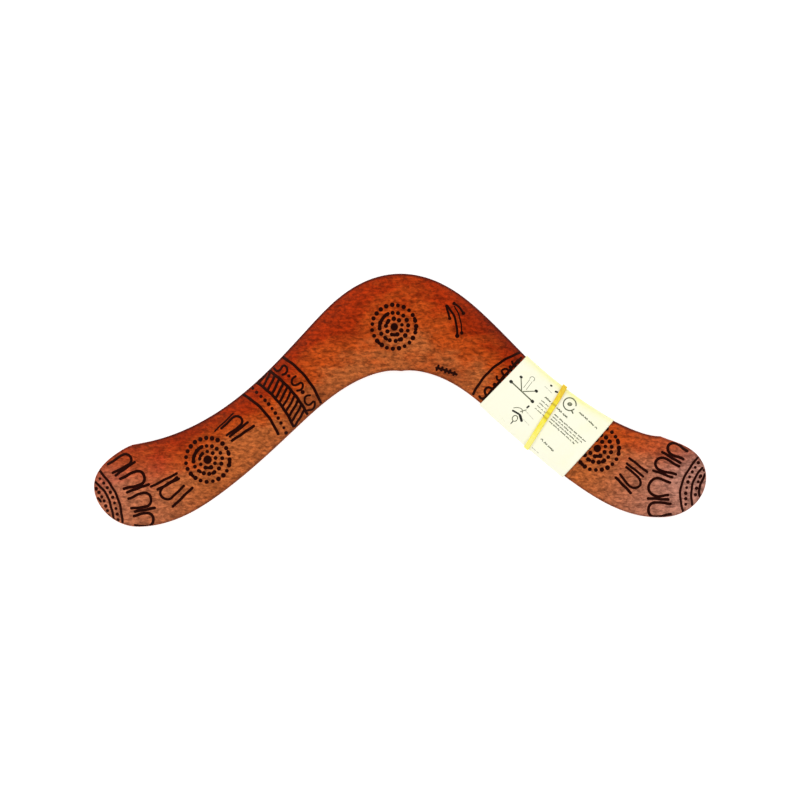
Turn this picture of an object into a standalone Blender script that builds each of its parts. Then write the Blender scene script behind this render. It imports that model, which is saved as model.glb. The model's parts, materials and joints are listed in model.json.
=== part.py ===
"""Wooden returning boomerang, with a printed leaflet wrapped round one arm and held by a rubber band.

The boomerang lies flat with its decorated, rounded face up. +X runs along its span, from the left tip
to the right tip, +Y points to the elbow, and the origin is below the middle of its outline, on the
surface that it lies on. Sizes are in millimetres up to MM, which turns them into Blender's metres.
"""

import math

import bmesh
import bpy
import numpy as np

MM = 0.001

# --- Blade ------------------------------------------------------------------------------------------
# Centre line from the left tip over the elbow to the right tip: x, y, and half of the width there.
CENTRE_LINE = (
    (-203.0, -52.0, 23.0),
    (-175.0, -55.0, 27.5),
    (-131.0, -40.0, 24.5),
    (-85.0, -6.5, 20.5),
    (-41.0, 31.5, 24.5),
    (1.0, 50.0, 32.5),
    (43.0, 33.5, 25.5),
    (87.0, -6.0, 21.5),
    (133.0, -41.0, 25.0),
    (177.0, -55.5, 27.0),
    (201.0, -46.5, 25.0),
)
TIP_LENGTH = 28.0  # how far the rounding of a tip reaches along the centre line
THICK_ELBOW = 8.0
THICK_ARM = 7.0
THICK_TIP = 5.0
ARM_FROM_ELBOW = 72.0  # along the centre line, where the elbow's extra thickness ends
TAPER_FROM_ELBOW = (168.0, 225.0)  # along the centre line, where an arm thins towards its tip
CREST_OFFSET = 0.30  # of the half width, by which the crest lies towards the leading edge
EDGE_LEADING = 2.2  # height of the outermost line of an edge above the underside
EDGE_TRAILING = 1.1
FULLNESS_LEADING = 0.62  # power of the top's curve: lower is blunter at the edge
FULLNESS_TRAILING = 0.80
UNDER_ROUNDING = 1.6  # how far the edge's rounding runs in under the blade
LEAD_BLEND = 55.0  # along the centre line, either side of the elbow, where the leading edge changes side

TIP_STATIONS = 12
ARM_STATIONS = 76
TOP_ANGLES = (7.0, 16.0, 27.0, 40.0, 54.0, 68.0, 82.0)  # degrees up the top's curve, from edge to crest
UNDER_ANGLES = (45.0, 90.0)  # degrees round the edge, from its outermost line to the underside

# --- Leaflet and rubber band ------------------------------------------------------------------------
GAP = 0.3  # between pieces that touch
PAPER_THICK = 0.2
LAYER_GAP = 0.1  # between the leaflet's overlapping ends
BAND_THICK = 0.7
BAND_WIDTH = 3.5

ARM_POINT = (97.5, -13.0)  # middle of the wrapped stretch, on the right arm's axis
ARM_ANGLE = -40.0  # degrees, the direction of that axis from the elbow to the tip
LEAFLET_LENGTH = 72.5
# How far the wrapped shape reaches from the arm's axis to its outer and its inner side: at the leaflet's
# end by the elbow, at its middle, and at its end by the tip.
OUTER_REACH = (22.4, 21.6, 25.3)
INNER_REACH = (22.2, 24.1, 24.8)
SKEW_ELBOW = 4.0  # how far the outer corner of an end lies ahead of its inner corner, along the arm
SKEW_TIP = 2.5
OVERLAP_HALF = 7.0  # half of the width in which the leaflet's ends overlap, underneath
LEAFLET_STATIONS = 7
TOP_POINTS = 17  # on the curve that the wraps follow over the top, and round the edge below it
UNDER_POINTS = 5
BAND_TILT = 5.5  # degrees off square to the arm, with its outer side nearer to the elbow
BAND_ALONG = 0.5  # from the leaflet's middle towards the tip
SIDE_EASE = 0.25  # more room at the band's two sides, so that it can slide

UNDERSIDE = BAND_THICK + GAP + PAPER_THICK + LAYER_GAP + PAPER_THICK + GAP

WOOD = ("stained_wood", (0.42, 0.09, 0.022), 0.42)
PAPER = ("printed_paper", (0.95, 0.93, 0.74), 0.70)
RUBBER = ("yellow_rubber", (0.86, 0.66, 0.07), 0.55)


def natural_spline(knots, values, where):
    """The natural cubic spline through values at knots, read at where: one row for each place."""
    values = np.asarray(values, float)
    step = np.diff(knots)
    slope = np.diff(values, axis=0) / step[:, None]
    count = len(knots)
    inner = np.arange(1, count - 1)
    system = np.eye(count)
    system[inner, inner - 1] = step[:-1]
    system[inner, inner] = 2 * (step[:-1] + step[1:])
    system[inner, inner + 1] = step[1:]
    target = np.zeros_like(values)
    target[inner] = 6 * np.diff(slope, axis=0)
    bend = np.linalg.solve(system, target)
    first = np.clip(np.searchsorted(knots, where, side="right") - 1, 0, count - 2)
    width = step[first][:, None]
    after = (where - knots[first])[:, None]
    before = width - after
    cubic = (bend[first] * before**3 + bend[first + 1] * after**3) / (6 * width)
    low = (values[first] / width - bend[first] * width / 6) * before
    high = (values[first + 1] / width - bend[first + 1] * width / 6) * after
    return cubic + low + high


def smooth_step(low, high, value):
    """0 up to low, 1 from high on, and a smooth rise between."""
    share = np.clip((value - low) / (high - low), 0, 1)
    return share * share * (3 - 2 * share)


LINE = np.array(CENTRE_LINE)
KNOTS = np.concatenate([[0], np.cumsum(np.hypot(*np.diff(LINE[:, :2], axis=0).T))])
LENGTH = KNOTS[-1]
ELBOW = KNOTS[len(KNOTS) // 2]


def centre_line(along):
    """Points on the centre line, unit normals that point to the outer edge, and half widths."""
    rows = natural_spline(KNOTS, LINE, along)
    small = 0.01
    ahead = natural_spline(KNOTS, LINE, along + small) - natural_spline(KNOTS, LINE, along - small)
    tangent = ahead[:, :2] / np.hypot(ahead[:, 0], ahead[:, 1])[:, None]
    normal = np.stack([-tangent[:, 1], tangent[:, 0]], axis=1)
    return rows[:, :2], normal, rows[:, 2]


def thickness(along):
    """Thickness at the crest: fullest at the elbow, even along the arms, and thinner at the tips."""
    reach = np.abs(along - ELBOW)
    elbow = THICK_ELBOW + (THICK_ARM - THICK_ELBOW) * smooth_step(0, ARM_FROM_ELBOW, reach)
    return elbow + (THICK_TIP - THICK_ARM) * smooth_step(*TAPER_FROM_ELBOW, reach)


def lead(along):
    """Which edge leads as the boomerang turns: 1 the outer one, on the right arm, and -1 the inner one,
    on the left arm. It is 0 at the tips, where the edges meet."""
    side = 2 * smooth_step(-LEAD_BLEND, LEAD_BLEND, along - ELBOW) - 1
    ends = np.minimum(along, LENGTH - along)
    return side * smooth_step(TIP_LENGTH, 2.5 * TIP_LENGTH, ends)


def edge_height(leading):
    """Height of an edge's outermost line, for 1 at a leading edge and -1 at a trailing edge."""
    return (EDGE_LEADING + EDGE_TRAILING) / 2 + leading * (EDGE_LEADING - EDGE_TRAILING) / 2


def fullness(leading):
    """Power of the top's curve, for 1 towards a leading edge and -1 towards a trailing edge."""
    return (FULLNESS_LEADING + FULLNESS_TRAILING) / 2 + leading * (FULLNESS_LEADING - FULLNESS_TRAILING) / 2


def top_height(angle, thick, leading):
    """Height of the top at angle up its curve: a rounded power of the sine, from the edge to the crest."""
    low = edge_height(leading)
    return low + (thick - low) * math.sin(angle) ** (2 * fullness(leading))


def outline():
    """The blade's outline, anticlockwise from the left tip: for each point its place, the point of the
    crest that it faces, the thickness there, and how far its edge leads, from -1 to 1."""
    turn = np.linspace(0, math.pi / 2, TIP_STATIONS)
    start = TIP_LENGTH * (1 - np.cos(turn))
    middle = np.linspace(TIP_LENGTH, LENGTH - TIP_LENGTH, ARM_STATIONS)[1:-1]
    along = np.concatenate([start, middle, LENGTH - start[::-1]])
    place, normal, half = centre_line(along)
    into_tip = np.maximum(0, 1 - np.minimum(along, LENGTH - along) / TIP_LENGTH)
    reach = (half * np.sqrt(1 - into_tip**2))[:, None] * normal
    crest_along = np.clip(along, TIP_LENGTH, LENGTH - TIP_LENGTH)
    crest_place, crest_normal, crest_half = centre_line(crest_along)
    crest = crest_place + (CREST_OFFSET * lead(crest_along) * crest_half)[:, None] * crest_normal
    thick = thickness(crest_along)
    leading = lead(along)
    back = slice(-2, 0, -1)
    return (
        np.concatenate([place - reach, (place + reach)[back]]),
        np.concatenate([crest, crest[back]]),
        np.concatenate([thick, thick[back]]),
        np.concatenate([-leading, leading[back]]),
    )


def loop_of(work, points):
    """A closed loop of edges through the points, given in millimetres. Returns its vertices and edges."""
    verts = [work.verts.new([float(value) * MM for value in point]) for point in points]
    edges = [work.edges.new((vert, verts[i - 1])) for i, vert in enumerate(verts)]
    return verts, edges


def close_across(work, verts):
    """Close a loop with faces that run across it, from its first half to its second."""
    count = len(verts)
    for i in range(count // 2):
        corners = (verts[i], verts[i + 1], verts[(count - i - 1) % count], verts[-i % count])
        work.faces.new(dict.fromkeys(corners))


def material(look):
    """A plain finish from its name, its colour and its roughness."""
    name, colour, roughness = look
    made = bpy.data.materials.new(name)
    made.use_nodes = True
    shader = made.node_tree.nodes["Principled BSDF"]
    shader.inputs["Base Color"].default_value = (*colour, 1)
    shader.inputs["Roughness"].default_value = roughness
    shader.inputs["Metallic"].default_value = 0
    made.diffuse_color = (*colour, 1)
    return made


def finish(work, name, look, parent=None):
    """Turn the mesh into a named object with its finish, hung on its parent."""
    bmesh.ops.recalc_face_normals(work, faces=work.faces)
    mesh = bpy.data.meshes.new(name)
    work.to_mesh(mesh)
    work.free()
    mesh.materials.append(material(look))
    mesh.shade_smooth()
    mesh.set_sharp_from_angle(angle=math.radians(40))
    made = bpy.data.objects.new(name, mesh)
    made.parent = parent
    bpy.context.collection.objects.link(made)
    return made


def make_blade():
    """One piece of wood: a flat underside, rounded edges, and a top that rises to the crest. The loops
    run round it at rising heights, from the underside to just below the crest."""
    rim, crest, thick, leading = outline()
    inward = crest - rim
    length = np.hypot(inward[:, 0], inward[:, 1])[:, None]
    low = edge_height(leading)
    loops = []
    for degrees in reversed(UNDER_ANGLES):
        angle = math.radians(degrees)
        place = rim + inward / length * UNDER_ROUNDING * (1 - math.cos(angle))
        loops.append(np.column_stack([place, UNDERSIDE + low * (1 - math.sin(angle))]))
    loops.append(np.column_stack([rim, UNDERSIDE + low]))
    for degrees in TOP_ANGLES:
        angle = math.radians(degrees)
        place = rim + inward * (1 - math.cos(angle))
        loops.append(np.column_stack([place, UNDERSIDE + top_height(angle, thick, leading)]))
    work = bmesh.new()
    made = [loop_of(work, points) for points in loops]
    for below, above in zip(made, made[1:]):
        bmesh.ops.bridge_loops(work, edges=below[1] + above[1])
    close_across(work, made[0][0])
    close_across(work, made[-1][0])
    return finish(work, "blade", WOOD)


def arm_curve(half):
    """The right arm's section as a curve on its surface, for a half width: from the middle of its
    underside round the outer edge, over the top, round the inner edge and back to the middle. Returns
    the distance across the arm and the height above the underside, and how far round each point is, from
    0 on the underside to 1 at an edge and over the top."""
    over = np.linspace(0, math.pi, TOP_POINTS)
    crest = CREST_OFFSET * half
    across = crest + np.where(over < math.pi / 2, half - crest, half + crest) * np.cos(over)
    leading = across / half
    low = edge_height(leading)
    height = low + (THICK_ARM - low) * np.sin(over) ** (2 * fullness(leading))
    under = np.linspace(math.pi / 2, 0, UNDER_POINTS)[:-1]
    inset = UNDER_ROUNDING * (1 - np.cos(under))
    drop = 1 - np.sin(under)
    round_share = 1 - under / (math.pi / 2)
    return (
        np.concatenate([half - inset, across, (inset - half)[::-1]]),
        np.concatenate([height[0] * drop, height, (height[-1] * drop)[::-1]]),
        np.concatenate([round_share, np.ones(TOP_POINTS), round_share[::-1]]),
    )


def outward(across, height):
    """Unit normals, away from the blade, along a curve that runs round it."""
    step = np.stack([np.gradient(across), np.gradient(height)], axis=1)
    step /= np.hypot(step[:, 0], step[:, 1])[:, None]
    return np.stack([step[:, 1], -step[:, 0]], axis=1)


def reach(sides, along):
    """How far the wrapped shape reaches from the arm's axis: a parabola through its three values."""
    share = along / (LEAFLET_LENGTH / 2)
    return sides[1] + (sides[2] - sides[0]) / 2 * share + ((sides[2] + sides[0]) / 2 - sides[1]) * share**2


def wrapped_half(along):
    """The wrapped shape's half width, and its middle's distance from the arm's axis."""
    outer = reach(OUTER_REACH, along)
    inner = reach(INNER_REACH, along)
    return (outer + inner) / 2, (outer - inner) / 2


def leaflet_section(half, middle):
    """The leaflet's section as a closed loop, in a plane across the arm: the paper runs from its inner
    end, under the arm, once round it and on under its own inner end."""
    across, height, _ = arm_curve(half)
    across = np.concatenate([[-OVERLAP_HALF], across, [OVERLAP_HALF]])
    height = np.concatenate([[0.0], height, [0.0]])
    normal = outward(across, height)
    wound = smooth_step(0.55, 0.9, np.linspace(0, 1, len(across)))
    inner = GAP + (PAPER_THICK + LAYER_GAP) * wound
    curve = np.stack([middle + across, height], axis=1)
    inside = curve + inner[:, None] * normal
    outside = curve + (inner + PAPER_THICK)[:, None] * normal
    return np.concatenate([outside, inside[::-1]])


def make_leaflet(arm):
    """The printed paper, as one sheet wound round the arm in a slightly conical wrap."""
    work = bmesh.new()
    made = []
    for part in np.linspace(0, 1, LEAFLET_STATIONS):
        along = (part - 0.5) * LEAFLET_LENGTH
        half, middle = wrapped_half(along)
        skew = (SKEW_ELBOW + (SKEW_TIP - SKEW_ELBOW) * part) / (2 * half)
        section = leaflet_section(half, middle)
        made.append(loop_of(work, np.column_stack([along + skew * section[:, 0], section])))
    for before, after in zip(made, made[1:]):
        bmesh.ops.bridge_loops(work, edges=before[1] + after[1])
    close_across(work, made[0][0])
    close_across(work, made[-1][0])
    return finish(work, "leaflet", PAPER, arm)


def make_band(arm):
    """The rubber band: a flat strip in a closed ring, round the leaflet."""
    half, middle = wrapped_half(BAND_ALONG)
    across, height, round_share = arm_curve(half)
    across = np.concatenate([[0.0], across])
    height = np.concatenate([[0.0], height])
    round_share = np.concatenate([[0.0], round_share])
    wrapped = np.concatenate([across[-1:], across, across[:1]])
    raised = np.concatenate([height[-1:], height, height[:1]])
    normal = outward(wrapped, raised)[1:-1]
    paper = GAP + PAPER_THICK + (PAPER_THICK + LAYER_GAP) * np.where(across > 0, 1 - round_share, 1)
    ease = SIDE_EASE * np.abs(normal[:, 0])
    curve = np.stack([middle + across, height], axis=1)
    work = bmesh.new()
    made = []
    corners = ((-1, 0), (1, 0), (1, 1), (-1, 1))
    tilt = math.tan(math.radians(BAND_TILT))
    for point, way, off in zip(curve, normal, paper + GAP + ease):
        ring = []
        for side, level in corners:
            x, z = point + (off + level * BAND_THICK) * way
            ring.append((BAND_ALONG - x * tilt + side * BAND_WIDTH / 2, x, z))
        made.append(loop_of(work, ring))
    for before, after in zip(made, made[1:] + made[:1]):
        bmesh.ops.bridge_loops(work, edges=before[1] + after[1])
    return finish(work, "rubber_band", RUBBER, arm)


def main():
    """Clear the scene and build the three pieces."""
    for old in list(bpy.data.objects):
        bpy.data.objects.remove(old, do_unlink=True)
    make_blade()
    arm = bpy.data.objects.new("arm_axis", None)
    arm.location = (ARM_POINT[0] * MM, ARM_POINT[1] * MM, UNDERSIDE * MM)
    arm.rotation_euler = (0, 0, math.radians(ARM_ANGLE))
    bpy.context.collection.objects.link(arm)
    make_leaflet(arm)
    make_band(arm)


main()
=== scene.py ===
"""Looks of a wooden returning boomerang with a printed leaflet wrapped round one arm under a rubber band.

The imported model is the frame: every piece made here stands for one of its nodes or lies on one, and rides
on that node's body. Lengths are in millimetres up to MM, which turns them into Blender's metres. +X runs
along the span, +Y points to the elbow, and the decorated, rounded face is up.
"""

import json
import logging
import math
from dataclasses import dataclass, field
from enum import Enum

import bpy
import numpy as np
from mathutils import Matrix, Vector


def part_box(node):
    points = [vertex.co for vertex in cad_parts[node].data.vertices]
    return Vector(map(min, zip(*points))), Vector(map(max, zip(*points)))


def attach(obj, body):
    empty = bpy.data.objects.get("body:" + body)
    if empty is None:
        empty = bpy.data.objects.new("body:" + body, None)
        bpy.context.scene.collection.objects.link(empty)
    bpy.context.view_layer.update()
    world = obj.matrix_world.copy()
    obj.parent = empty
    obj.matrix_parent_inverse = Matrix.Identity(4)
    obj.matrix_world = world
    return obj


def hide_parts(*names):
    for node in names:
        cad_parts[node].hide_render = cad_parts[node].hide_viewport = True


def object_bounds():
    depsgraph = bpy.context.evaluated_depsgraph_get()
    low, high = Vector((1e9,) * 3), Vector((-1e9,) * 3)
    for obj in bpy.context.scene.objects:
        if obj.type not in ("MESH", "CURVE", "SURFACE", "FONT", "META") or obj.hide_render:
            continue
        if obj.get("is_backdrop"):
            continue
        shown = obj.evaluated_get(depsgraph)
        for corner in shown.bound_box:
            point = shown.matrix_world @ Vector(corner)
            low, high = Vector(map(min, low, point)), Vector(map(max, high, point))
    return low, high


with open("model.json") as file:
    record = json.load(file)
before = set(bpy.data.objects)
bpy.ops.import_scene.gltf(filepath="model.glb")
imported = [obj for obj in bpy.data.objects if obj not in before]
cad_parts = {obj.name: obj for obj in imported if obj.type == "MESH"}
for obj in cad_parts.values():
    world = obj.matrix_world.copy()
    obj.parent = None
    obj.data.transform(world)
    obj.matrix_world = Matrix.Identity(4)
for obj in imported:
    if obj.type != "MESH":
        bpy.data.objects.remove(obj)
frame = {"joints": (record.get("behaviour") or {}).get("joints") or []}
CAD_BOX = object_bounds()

MM = 0.001
LOG = logging.getLogger("boomerang")

Colour = tuple[float, float, float]
Point = tuple[float, float]


class Body(Enum):
    """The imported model's moving bodies."""

    BLADE = "blade"
    LEAFLET = "leaflet"
    BAND = "rubber_band"


class Slot(Enum):
    """The record's material slots."""

    WOOD = "stained_wood"
    PAPER = "printed_paper"
    RUBBER = "yellow_rubber"


# --- Arithmetic on whole arrays ---------------------------------------------------------------------


def smooth_step(low: float, high: float, value: np.ndarray) -> np.ndarray:
    """0 up to low, 1 from high on, and between them 3 s^2 - 2 s^3 of the share s of the way."""
    share = np.clip((value - low) / (high - low), 0, 1)
    return share * share * (3 - 2 * share)


def natural_spline(knots: np.ndarray, values: np.ndarray, where: np.ndarray) -> np.ndarray:
    """The natural cubic spline: between two knots a cubic, with slope and bend running on through each.

    Args:
        knots: rising positions, one for each row of values.
        values: the rows that the spline passes through.
        where: positions to read it at.

    Returns:
        One row for each position.
    """
    step = np.diff(knots)
    slope = np.diff(values, axis=0) / step[:, None]
    count = len(knots)
    inner = np.arange(1, count - 1)
    system = np.eye(count)
    system[inner, inner - 1] = step[:-1]
    system[inner, inner] = 2 * (step[:-1] + step[1:])
    system[inner, inner + 1] = step[1:]
    target = np.zeros_like(values)
    target[inner] = 6 * np.diff(slope, axis=0)
    bend = np.linalg.solve(system, target)
    first = np.clip(np.searchsorted(knots, where, side="right") - 1, 0, count - 2)
    width = step[first][:, None]
    after = (where - knots[first])[:, None]
    before = width - after
    cubic = (bend[first] * before**3 + bend[first + 1] * after**3) / (6 * width)
    low = (values[first] / width - bend[first] * width / 6) * before
    high = (values[first + 1] / width - bend[first + 1] * width / 6) * after
    return cubic + low + high


def chord_lengths(points: np.ndarray) -> np.ndarray:
    """Distance run from the first point to each, along straight lines between them."""
    return np.concatenate([[0.0], np.cumsum(np.hypot(*np.diff(points[:, :2], axis=0).T))])


def turned(points: np.ndarray, degrees: float) -> np.ndarray:
    """The points turned anticlockwise about the origin.

    Args:
        points: rows of x and y.
        degrees: the turn.

    Returns:
        The turned points.
    """
    angle = math.radians(degrees)
    cos, sin = math.cos(angle), math.sin(angle)
    return points @ np.array([[cos, sin], [-sin, cos]])


def tube_faces(rows: int, columns: int, start: int = 0) -> list[tuple[int, ...]]:
    """Faces of a grid whose every row is a closed ring: a quad from each point to its neighbour and on.

    Args:
        rows: number of rings.
        columns: points in each ring.
        start: index of the grid's first point.

    Returns:
        Corner indices of each quad.
    """
    row, column = np.mgrid[0 : rows - 1, 0:columns]
    following = (column + 1) % columns
    corners = (
        row * columns + column,
        row * columns + following,
        (row + 1) * columns + following,
        (row + 1) * columns + column,
    )
    return list(map(tuple, (np.stack(corners, axis=-1).reshape(-1, 4) + start).tolist()))


def across_faces(first: int, count: int, turn_over: bool) -> list[tuple[int, ...]]:
    """Strips that close a ring of points, each from its first half straight over to its second half.

    Args:
        first: index of the ring's first point.
        count: points in the ring.
        turn_over: whether the strips run the other way round.

    Returns:
        Corner indices of each strip.
    """
    near = np.arange(count // 2)
    corners = np.stack([near, near + 1, (count - near - 1) % count, -near % count], axis=1) + first
    if turn_over:
        corners = corners[:, ::-1]
    return [tuple(dict.fromkeys(row)) for row in corners.tolist()]


# --- Finishes ---------------------------------------------------------------------------------------


class Recipe:
    """A material in the making: each method adds one node and returns the socket that it gives out."""

    def __init__(self, name: str) -> None:
        """Start a material with its shader.

        Args:
            name: the material's name.
        """
        self.made = bpy.data.materials.new(name)
        self.made.use_nodes = True
        self.tree = self.made.node_tree
        self.shader = self.tree.nodes["Principled BSDF"]
        self.place = self.tree.nodes.new("ShaderNodeTexCoord")

    def _feed(self, socket: bpy.types.NodeSocket, value: object) -> None:
        """Link a socket into another, or set a plain value on it.

        Args:
            socket: the socket to fill.
            value: a socket to link, a plain value to set, or None to leave it as it is.
        """
        if isinstance(value, bpy.types.NodeSocket):
            self.tree.links.new(value, socket)
        elif value is not None:
            socket.default_value = value

    def set(self, **values: object) -> None:
        """Set or link the shader's sockets, named with _ for a space."""
        for name, value in values.items():
            self._feed(self.shader.inputs[name.replace("_", " ")], value)

    def stretched(
        self, scale: tuple[float, float, float], turn: float = 0.0, source: str = "Object"
    ) -> object:
        """Coordinates turned about Z by degrees, then multiplied by a scale for each axis.

        Args:
            scale: the factor for each axis.
            turn: degrees about Z.
            source: which coordinates to start from.

        Returns:
            The socket with the coordinates.
        """
        turning = self.tree.nodes.new("ShaderNodeMapping")
        turning.inputs["Rotation"].default_value = (0, 0, math.radians(turn))
        self._feed(turning.inputs["Vector"], self.place.outputs[source])
        scaling = self.tree.nodes.new("ShaderNodeMapping")
        scaling.inputs["Scale"].default_value = scale
        self._feed(scaling.inputs["Vector"], turning.outputs["Vector"])
        return scaling.outputs["Vector"]

    def noise(
        self, where: object, scale: float, detail: float = 3.0, rough: float = 0.5, bent: float = 0.0
    ) -> object:
        """Cloudy noise from 0 to 1.

        Args:
            where: coordinates.
            scale: a further factor on them.
            detail: number of finer layers.
            rough: the finer layers' strength.
            bent: how far it is distorted.

        Returns:
            The socket with the noise.
        """
        node = self.tree.nodes.new("ShaderNodeTexNoise")
        self._feed(node.inputs["Vector"], where)
        node.inputs["Scale"].default_value = scale
        node.inputs["Detail"].default_value = detail
        node.inputs["Roughness"].default_value = rough
        node.inputs["Distortion"].default_value = bent
        return node.outputs["Fac"]

    def attribute(self, name: str) -> object:
        """The number that the mesh carries under a name.

        Args:
            name: the attribute's name.

        Returns:
            The socket with the number.
        """
        node = self.tree.nodes.new("ShaderNodeAttribute")
        node.attribute_name = name
        return node.outputs["Fac"]

    def math(self, operation: str, first: object, second: object = None) -> object:
        """One sum on one or two values.

        Args:
            operation: Blender's name for the sum.
            first: the first value.
            second: the second value, where the sum has two.

        Returns:
            The socket with the result.
        """
        node = self.tree.nodes.new("ShaderNodeMath")
        node.operation = operation
        self._feed(node.inputs[0], first)
        self._feed(node.inputs[1], second)
        return node.outputs["Value"]

    def rise(self, value: object, low: float, high: float, start: float = 0.0, end: float = 1.0) -> object:
        """A smooth rise from start to end as value goes from low to high.

        Args:
            value: what drives the rise.
            low: value at which it starts.
            high: value at which it ends.
            start: result up to low.
            end: result from high on.

        Returns:
            The socket with the result.
        """
        node = self.tree.nodes.new("ShaderNodeMapRange")
        node.interpolation_type = "SMOOTHSTEP"
        self._feed(node.inputs["Value"], value)
        for name, number in zip(("From Min", "From Max", "To Min", "To Max"), (low, high, start, end)):
            node.inputs[name].default_value = number
        return node.outputs["Result"]

    def mix(self, share: object, first: object, second: object, blend: str = "MIX") -> object:
        """One colour over another.

        Args:
            share: how much of the second colour, from 0 to 1.
            first: a colour or a socket.
            second: a colour or a socket.
            blend: Blender's name for the way of mixing.

        Returns:
            The socket with the colour.
        """
        node = self.tree.nodes.new("ShaderNodeMix")
        node.data_type = "RGBA"
        node.blend_type = blend
        self._feed(node.inputs["Factor"], share)
        for name, colour in (("A", first), ("B", second)):
            socket = next(s for s in node.inputs if s.name == name and s.type == "RGBA")
            self._feed(socket, (*colour, 1.0) if isinstance(colour, tuple) else colour)
        return next(s for s in node.outputs if s.type == "RGBA")

    def grey(self, value: object) -> object:
        """A number as a grey colour.

        Args:
            value: the number.

        Returns:
            The socket with the colour.
        """
        node = self.tree.nodes.new("ShaderNodeCombineColor")
        for name in ("Red", "Green", "Blue"):
            self._feed(node.inputs[name], value)
        return node.outputs["Color"]

    def bump(self, height: object, strength: float, distance: float) -> object:
        """Small relief from a height.

        Args:
            height: the socket with the height.
            strength: how much of the relief shows.
            distance: height of the relief in metres.

        Returns:
            The socket with the normal.
        """
        node = self.tree.nodes.new("ShaderNodeBump")
        node.inputs["Strength"].default_value = strength
        node.inputs["Distance"].default_value = distance
        self._feed(node.inputs["Height"], height)
        return node.outputs["Normal"]


@dataclass(frozen=True)
class StainedWood:
    """Oiled wood under a red stain, redder towards the outer edges, with burnt marks, dark rims and a painted
    highlight at the tips.

    The mesh carries five numbers: tone, from 0 ochre to 1 red; depth, where the stain lies thick; pale,
    where a painted highlight pales the tips; edge, how close the rim is; and burn, how far the wood is
    scorched.
    """

    red: Colour = (0.325, 0.023, 0.0017)
    brown: Colour = (0.415, 0.058, 0.0065)
    ochre: Colour = (0.42, 0.105, 0.025)
    painted_tip_highlight: Colour = (0.41, 0.195, 0.15)
    # painted highlight: the pinkish pale colour that the tips are mixed towards, as where light glints on
    # them
    deep: Colour = (0.11, 0.006, 0.0015)
    rim: Colour = (0.05, 0.004, 0.003)
    scorched: Colour = (0.085, 0.006, 0.003)
    burnt: Colour = (0.009, 0.0005, 0.0006)
    roughness: tuple[float, float] = (0.42, 0.58)
    sheen_colour: tuple[float, float, float, float] = (1.0, 0.35, 0.2, 1.0)

    def material(self) -> bpy.types.Material:
        """Grain along X with short flecks, and the stain, the painted highlight at the tips and the scorching
        that the mesh carries.

        Returns:
            The material.
        """
        recipe = Recipe(Slot.WOOD.value)
        cloud = recipe.noise(recipe.stretched((26.0, 55.0, 55.0)), 1.0, 4.0, 0.6)
        mottle = recipe.noise(recipe.stretched((270.0, 460.0, 460.0), 8.0), 1.0, 5.0, 0.7, 0.4)
        streak = recipe.noise(recipe.stretched((75.0, 620.0, 620.0), -3.0), 1.0, 5.0, 0.6, 0.25)
        fleck = recipe.noise(recipe.stretched((300.0, 1500.0, 1500.0)), 1.0, 2.0, 0.5)
        tone = recipe.math("ADD", recipe.attribute("tone"), recipe.rise(cloud, 0.3, 0.7, -0.26, 0.26))
        wood = recipe.mix(recipe.rise(tone, 0.0, 0.5), self.ochre, self.brown)
        wood = recipe.mix(recipe.rise(tone, 0.5, 1.0), wood, self.red)
        wood = recipe.mix(recipe.attribute("depth"), wood, self.deep)
        # painted highlight: the tips are paled towards a pinkish grey, as where light glints on them
        wood = recipe.mix(recipe.attribute("pale"), wood, self.painted_tip_highlight)
        wood = recipe.mix(1.0, wood, recipe.grey(recipe.rise(mottle, 0.30, 0.70, 0.42, 1.52)), "MULTIPLY")
        wood = recipe.mix(1.0, wood, recipe.grey(recipe.rise(streak, 0.32, 0.66, 0.80, 1.14)), "MULTIPLY")
        wood = recipe.mix(recipe.rise(fleck, 0.58, 0.72, 0.0, 0.5), wood, self.deep)
        rim = recipe.math("MULTIPLY", recipe.attribute("edge"), recipe.rise(mottle, 0.2, 0.6, 0.55, 1.0))
        wood = recipe.mix(rim, wood, self.rim)
        burn = recipe.attribute("burn")
        wood = recipe.mix(recipe.rise(burn, 0.25, 0.6), wood, self.scorched)
        wood = recipe.mix(recipe.rise(burn, 0.45, 0.9), wood, self.burnt)
        relief = recipe.math("ADD", streak, recipe.math("MULTIPLY", fleck, -0.6))
        recipe.set(
            Base_Color=wood,
            Roughness=recipe.rise(streak, 0.3, 0.7, *self.roughness),
            Specular_IOR_Level=0.14,
            Specular_Tint=self.sheen_colour,
            Normal=recipe.bump(relief, 0.22, 0.00025),
        )
        return recipe.made


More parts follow.
